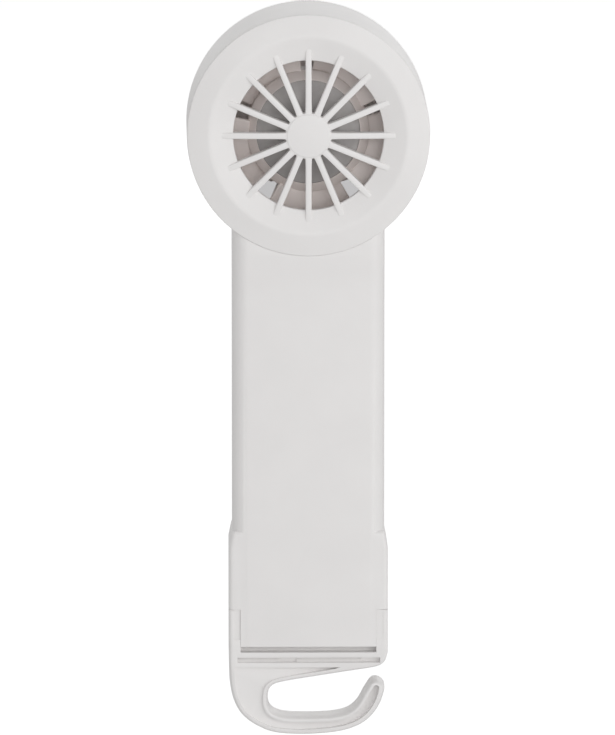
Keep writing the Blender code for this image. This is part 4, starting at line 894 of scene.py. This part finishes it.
def capBody(c):
    # the cap's outline pushed out between its two depths, both edges rolled like a worn moulding
    points = capOutline(c)
    rolled = list(zip(points, inwardSteps(points), [capRolls(c, point) for point in points]))
    steps = 7
    bm = bmesh.new()
    loops = []
    turns = [(False, i) for i in range(steps + 1)] + [(True, i) for i in reversed(range(steps + 1))]
    for isFront, step in turns:
        turn = math.radians(90) * step / steps
        out, deep = 1 - math.sin(turn), 1 - math.cos(turn)
        loops.append([])
        for point, way, (inset, reach) in rolled:
            shifted = Vector(point) + way * inset * out
            depth = c.front - inset * deep if isFront else c.rear + reach * deep
            loops[-1].append(bm.verts.new((shifted.x, depth, shifted.y)))
    for first, second in zip(loops, loops[1:]):
        for i in range(len(points)):
            j = (i + 1) % len(points)
            bm.faces.new((first[i], first[j], second[j], second[i]))
    bm.faces.new(loops[0])
    bm.faces.new(loops[-1])
    bmesh.ops.recalc_face_normals(bm, faces=bm.faces)
    return helperFrom(bm)


def coreFloor(c, across):
    # the hollow is shallow at the back of the hook and deeper towards its tip
    shallow, deep = c.coreDepths
    return c.rear + shallow + (deep - shallow) * (across + c.reach) / (2 * c.reach)


def capCutters(c):
    far = 60 * mm
    low, high = c.slot
    behind = c.rear - past
    # the slot is undercut at the top and slopes out to its lower edge
    drop, rise = c.slotSlope
    slotSide = (
        (behind, low - drop), (behind, high), (c.rear + c.slotDepth, high),
        (c.rear + c.slotStep, low + rise),
        (c.rear, low),
    )
    cutters = [prism(slotSide, *c.slotAcross, "side")]
    under, over = c.windowInset
    for across in c.windows:
        cutters.append(block(across, (behind, c.rear + c.windowDepth), (low + under, high - over)))
    core = prism(coreOutline(c), -far, 0, "rear")
    for vert in core.data.vertices:
        if vert.co.y > -far / 2:
            vert.co.y = coreFloor(c, vert.co.x)
    cutters.append(core)
    for side, depth in zip((-1, 1), c.pocketDepths):
        across = sorted(side * edge for edge in c.pocketAcross)
        cutters.append(block(across, (-far, c.rear + depth), (c.pocketBottom, c.armTop + past)))
    return cutters


def makeEndCap():
    c = sized(cap)
    low, high = c.taper
    behind, ahead, top = c.rear - past, c.front + overlap, c.armTop + past
    sideOutline = (
        (behind, -past), (c.hookFront, -past), (c.hookFront, low), (ahead, high), (ahead, top),
        (behind, top),
    )
    side = prism(sideOutline, *both(60 * mm), "side")
    tongue = block(both(c.armInner + overlap), c.tongueDepths, (c.plateTop - overlap, c.tongueTop))
    steps = (("INTERSECT", (side,)), ("DIFFERENCE", capCutters(c)), ("UNION", (tongue,)))
    mesh = worked(capBody(c), *steps)
    bm = bmesh.new()
    bm.from_mesh(mesh)
    bpy.data.meshes.remove(mesh)
    tiny = 0.002 * mm

    def isFloor(co):
        isLow = co.z < c.roof - tiny and (co.x < 0 or co.z < c.filletTop)
        return isLow and abs(co.y - coreFloor(c, co.x)) < tiny

    for sharper, isWanted, offset, segments in (
        (60, lambda co: abs(co.y - c.hookFront) < tiny, c.frontEdge, 4),
        (45, isFloor, c.coreFillet, 4),
        (50, lambda co: abs(co.y - c.rear) < tiny, c.rimEdge, 3),
    ):
        edges = [edge for edge in edgesSharperThan(bm, sharper) if all(isWanted(v.co) for v in edge.verts)]
        softened(bm, edges, offset, segments)
    pieceFrom(bm, "hookCap", "cap", "white_plastic", "end_cap")


makeEndCap()
print("hook cap made")

# button and light pipe
button = {
    "shape": (  # from the dished face over the flange to the stem
        (0, 6.7, 0), (2.75, 6.76, 4), (4.51, 7, 1.2), (5.5, 7, 0.5), (5.5, 4.3, 0), (6.6, 4.3, 0.1),
        (6.6, 3.6, 0.1), (1.4, 3.6, 0), (1.4, 3.45, 0), (0, 3.45, 0),
    ),
}
pipe = {
    "half": (5.95, 0.8), "depths": (1.8, 6.3),
    "flange": 1, "flangeDepths": (3.3, 4.5), "flangeEdge": 0.5,
}


def makeButton():
    bm = bmesh.new()
    addTurned(bm, sized(button).shape, 6, 96, False, (0, sized(handle).buttonHeight))
    pieceFrom(bm, "powerButton", "button", "white_plastic", "power_button")


def makeLightPipe():
    p = sized(pipe)
    wide, high = p.half
    middle = sized(handle).pipeHeight
    body = block(both(wide), p.depths, (middle - high, middle + high), high * fullRound, 6, 1)
    flangeHeights = (middle - high - p.flange, middle + high + p.flange)
    flange = block(both(wide + p.flange), p.flangeDepths, flangeHeights, p.flangeEdge, 3, 1)
    pieceOf(worked(body, ("UNION", (flange,))), "lightPipe", "housing", "clear_plastic", "light_pipe")


makeButton()
makeLightPipe()
print("button and light pipe made")

# rotor
rotor = {
    "canShape": (
        (13, 1, 0), (13, -9, 0.12), (3.2, -9, 0.3), (2.9, -9.3, 0.15), (1.05, -9.3, 0.1), (1.05, -8.2, 0),
        (12.1, -8.2, 0.3), (12.1, 1, 0),
    ),
    "hubShape": (  # its bore closes the hair-thin seam round the can
        (15.3, 1.5, 0.2), (15.3, -7.5, 0.7), (13.14, -9.4, 0.1), (12.99, -9.4, 0.06), (12.99, 1.5, 0.1),
    ),
    "bladeCount": 5, "bladeReach": (14.7, 23.1), "bladeAngle": 60.5, "bladeStartAngle": -47.5,
    "bladeDepth": -6.3, "bladeRise": 3.8, "bladeThickness": 1, "bladeEdge": 0.3,
}


def addBlade(bm, g, start):
    made = bmesh.ops.create_grid(bm, x_segments=24, y_segments=8, size=1)["verts"]
    root, tip = g.bladeReach
    for vert in made:
        along, out = (vert.co.x + 1) / 2, (vert.co.y + 1) / 2
        angle = g.bladeStartAngle + along * g.bladeAngle + start
        across, height = aroundHead(root + out * (tip - root), angle)
        vert.co = (across, g.bladeDepth + (along - 0.5) * g.bladeRise, height)
    bmesh.ops.recalc_face_normals(bm, faces=bm.faces)
    bmesh.ops.solidify(bm, geom=bm.faces[:], thickness=g.bladeThickness)
    bmesh.ops.translate(bm, vec=(0, g.bladeThickness / 2, 0), verts=bm.verts)
    softened(bm, edgesSharperThan(bm, 60), g.bladeEdge, 3)
    bmesh.ops.recalc_face_normals(bm, faces=bm.faces)


def makeImpeller():
    g = sized(rotor)
    bm = bmesh.new()
    addTurned(bm, g.hubShape, 6, 128)
    for i in range(g.bladeCount):
        joined(bm, addBlade, g, 360 / g.bladeCount * i)
    pieceFrom(bm, "impellerWheel", "rotor", "blade_plastic", "impeller", 35)


def makeRotorCan():
    bm = bmesh.new()
    addTurned(bm, sized(rotor).canShape, 5, 128)
    pieceFrom(bm, "rotorCan", "rotor", "dark_steel", "rotor_can", 30)


makeImpeller()
makeRotorCan()
print("rotor made")

# inner wires and coils; a wire's stops are depths and heights in mm
wires = {
    "motor": {
        "radius": 0.45,
        "across": {"Red": -1.1, "Black": 1.1},
        "stops": (  # from the board up and over the motor's cup
            (-0.8, 109.5), (-0.8, 112.5), (0.95, 118.8), (1.95, 124.15), (4.6, 125.15), (10.7, 125.15),
            (12.2, 126.8), (11.75, 130.4), (11.75, 139.5), (11.75, 141.5), (7.83, 145.5), (3.9, 146),
        ),
    },
    "battery": {
        "radius": 0.6,
        "across": {"Red": -7.6, "Black": -5.4},
        "stops": ((-8.3, 84.8), (-7.63, 86.51), (-4.95, 87.38), (-2.14, 87.92), (-1.6, 88.7)),
    },
}
coils = {
    "toothCount": 9, "halfWidth": 1.3, "depths": (-5.2, 0.2), "inner": 4.9, "outer": 8.55,
    "wireRadius": 0.21, "pitch": 0.4242,
    "fullerShares": (0.2, 0.5),  # how much fuller the middle turns lie than the end ones
    "ringRadius": 5.9, "ringDepth": 1, "ringCount": 3,
}


def addTube(bm, line, radius, sides):
    # a round bar along a line of points, closed at both ends
    rings, normal = [], None
    turns = [2 * math.pi * k / sides for k in range(sides)]
    for i, point in enumerate(line):
        way = (line[min(i + 1, len(line) - 1)] - line[max(i - 1, 0)]).normalized()
        normal = way.orthogonal() if normal is None else normal - way * normal.dot(way)
        normal.normalize()
        across = way.cross(normal)
        ways = [normal * math.cos(turn) + across * math.sin(turn) for turn in turns]
        rings.append([bm.verts.new(point + out * radius) for out in ways])
    for last, ring in zip(rings, rings[1:]):
        for k in range(sides):
            bm.faces.new((last[k], last[(k + 1) % sides], ring[(k + 1) % sides], ring[k]))
    bm.faces.new(reversed(rings[0]))
    bm.faces.new(rings[-1])


def makeWire(run, colour):
    w = wires[run]
    bm = bmesh.new()
    line = [Vector((w["across"][colour], depth, height)) * mm for depth, height in rounder(w["stops"], 8)]
    addTube(bm, line, w["radius"] * mm, 10)
    bmesh.ops.recalc_face_normals(bm, faces=bm.faces)
    slot = colour.lower() + "_insulation"
    pieceFrom(bm, run + "Wire" + colour, "housing", slot, run + "_wire_" + colour.lower(), 50)


for colour in ("Red", "Black"):
    makeWire("motor", colour)
    makeWire("battery", colour)
print("wires made")


def coilLine(c):
    # one tooth's coil: turns laid side by side along the tooth, fuller in the middle
    steps = 16
    count = int((c.outer - c.inner) / c.pitch) * steps
    rear, front = c.depths
    fullness, level = c.fullerShares
    line = []
    for i in range(count + 1):
        turn = 2 * math.pi * i / steps
        share = i / count
        fuller = 1 + fullness * (math.sin(math.pi * share) - level)
        across, deep = (math.copysign(abs(part) ** 0.5, part) for part in (math.cos(turn), math.sin(turn)))
        depth = (rear + front) / 2 + deep * (front - rear) / 2 * fuller
        line.append(Vector((across * c.halfWidth * fuller, depth, c.inner + share * (c.outer - c.inner))))
    return line


def addCoil(bm, c, line, angle):
    addTube(bm, line, c.wireRadius, 6)
    bmesh.ops.rotate(bm, cent=(0, 0, 0), matrix=Matrix.Rotation(math.radians(angle), 3, "Y"), verts=bm.verts)


def addLeads(bm, c):
    # the wires that link the coils, laid round the shaft
    for k in range(c.ringCount):
        radius = c.ringRadius + (k - 1) * c.pitch
        turns = [math.radians(angle) for angle in range(k * 40, k * 40 + 316, 5)]
        line = [Vector((radius * math.cos(t), c.ringDepth, radius * math.sin(t))) for t in turns]
        addTube(bm, line, c.wireRadius, 6)


def makeCoils():
    c = sized(coils)
    bm = bmesh.new()
    line = coilLine(c)
    for i in range(c.toothCount):
        joined(bm, addCoil, c, line, 90 - 360 / c.toothCount * i)
    joined(bm, addLeads, c)
    bmesh.ops.translate(bm, vec=(0, *headPlace), verts=bm.verts)
    bmesh.ops.recalc_face_normals(bm, faces=bm.faces)
    pieceFrom(bm, "statorCoils", "housing", "enamelled_copper", "stator_winding", 50)


makeCoils()
print("coils made")

# stage: pale floor, white surroundings, soft studio light
stage = {
    "floorColour": "#f4f4f4", "floorHalf": 6,
    "floorHeight": -27 * mm,  # clear of the cap when it is pulled down
    "floorLift": 0.53,
    # painted shadow: a soft grey spot on the floor far behind the fan, which shows through the duct as a grey
    # backdrop in shade
    "paintedShadowColour": "#e2e1e2",
    "paintedShadowPlace": (18.9 * mm, 1192 * mm, 0),
    "paintedShadowHalf": (34 * mm, 70 * mm, 1), "paintedShadowSoft": 0.76,
    "worldLight": 0.52, "lampAim": (0, 0, 0.09),
    # place, size and power of each soft lamp
    "lamps": {
        "keyLight": ((0.75, -0.9, 0.3), 0.7, 2.94),
        "rimLight": ((-1.0, 0.5, 0.4), 0.7, 0.55),
        "backLight": ((0.2, 1.25, 0.4), 0.7, 0.7),
        "frontLight": ((0.15, -1.4, 0.3), 0.5, 2.6),
    },
}


def addFloor():
    bm = bmesh.new()
    bmesh.ops.create_grid(bm, x_segments=1, y_segments=1, size=stage["floorHalf"])
    bmesh.ops.translate(bm, vec=(0, 0, stage["floorHeight"]), verts=bm.verts)
    floor = linked("floor", meshFrom(bm, "floor"))
    # matt white paint with a painted shadow, a soft grey spot far behind the fan; outside the spot it is
    # lifted to white for the camera
    material, tree, place = startMaterial("paleFloor")
    paintedShadowSpot = {"vector_type": "TEXTURE", "Location": stage["paintedShadowPlace"], "Scale": stage["paintedShadowHalf"]}
    shifted = addNode(tree, "Mapping", paintedShadowSpot, {"Vector": place}).outputs["Vector"]
    away = addNode(tree, "VectorMath", {"operation": "LENGTH"}, {"Vector": shifted}).outputs["Value"]
    soft = {"interpolation_type": "SMOOTHSTEP", "From Min": stage["paintedShadowSoft"], "From Max": 1.0}
    outside = addNode(tree, "MapRange", soft, {"Value": away}).outputs["Result"]
    colours = {"A": linear(stage["paintedShadowColour"]), "B": linear(stage["floorColour"])}
    colour = addNode(tree, "Mix", {"data_type": "RGBA", **colours}, {"Factor": outside})
    paint = addNode(tree, "BsdfDiffuse", links={"Color": colour.outputs["Result"]})
    rays = addNode(tree, "LightPath").outputs
    # the lift leaves out the painted shadow spot, so it stays grey
    seen = addNode(tree, "Math", {"operation": "MULTIPLY"}, {0: rays["Is Camera Ray"], 1: outside})
    lift = addNode(tree, "Math", {"operation": "MULTIPLY"}, {0: seen.outputs[0]})
    lift.inputs[1].default_value = stage["floorLift"]
    glow = addNode(tree, "Emission", {"Color": (1, 1, 1, 1)}, {"Strength": lift.outputs[0]})
    lifted = addNode(tree, "AddShader", links={0: paint.outputs[0], 1: glow.outputs[0]})
    addNode(tree, "OutputMaterial", links={"Surface": lifted.outputs[0]})
    floor.data.materials.append(material)


def addWorld():
    # dim light, but white for the camera, in reflections and through clear parts
    world = bpy.data.worlds.new("studio")
    bpy.context.scene.world = world
    world.use_nodes = True
    tree = world.node_tree
    tree.nodes.clear()
    rays = addNode(tree, "LightPath").outputs
    seen = rays["Is Camera Ray"]
    for ray in ("Is Glossy Ray", "Is Transmission Ray"):
        seen = addNode(tree, "Math", {"operation": "MAXIMUM"}, {0: seen, 1: rays[ray]}).outputs[0]
    dim, white = (
        addNode(tree, "Background", {"Color": (1, 1, 1, 1), "Strength": strength}).outputs[0]
        for strength in (stage["worldLight"], 1.0)
    )
    mix = addNode(tree, "MixShader", links={0: seen, 1: dim, 2: white})
    addNode(tree, "OutputWorld", links={"Surface": mix.outputs[0]})


def addLamp(name, place, size, power):
    data = bpy.data.lights.new(name, "AREA")
    data.shape = "SQUARE"
    data.size = size
    data.energy = power
    lamp = linked(name, data)
    lamp.location = place
    aim = Vector(stage["lampAim"]) - Vector(place)
    lamp.rotation_euler = aim.to_track_quat("-Z", "Y").to_euler()


addFloor()
addWorld()
for name, (place, size, power) in stage["lamps"].items():
    addLamp(name, place, size, power)
bpy.context.scene.view_settings.view_transform = "Standard"
print("stage made")
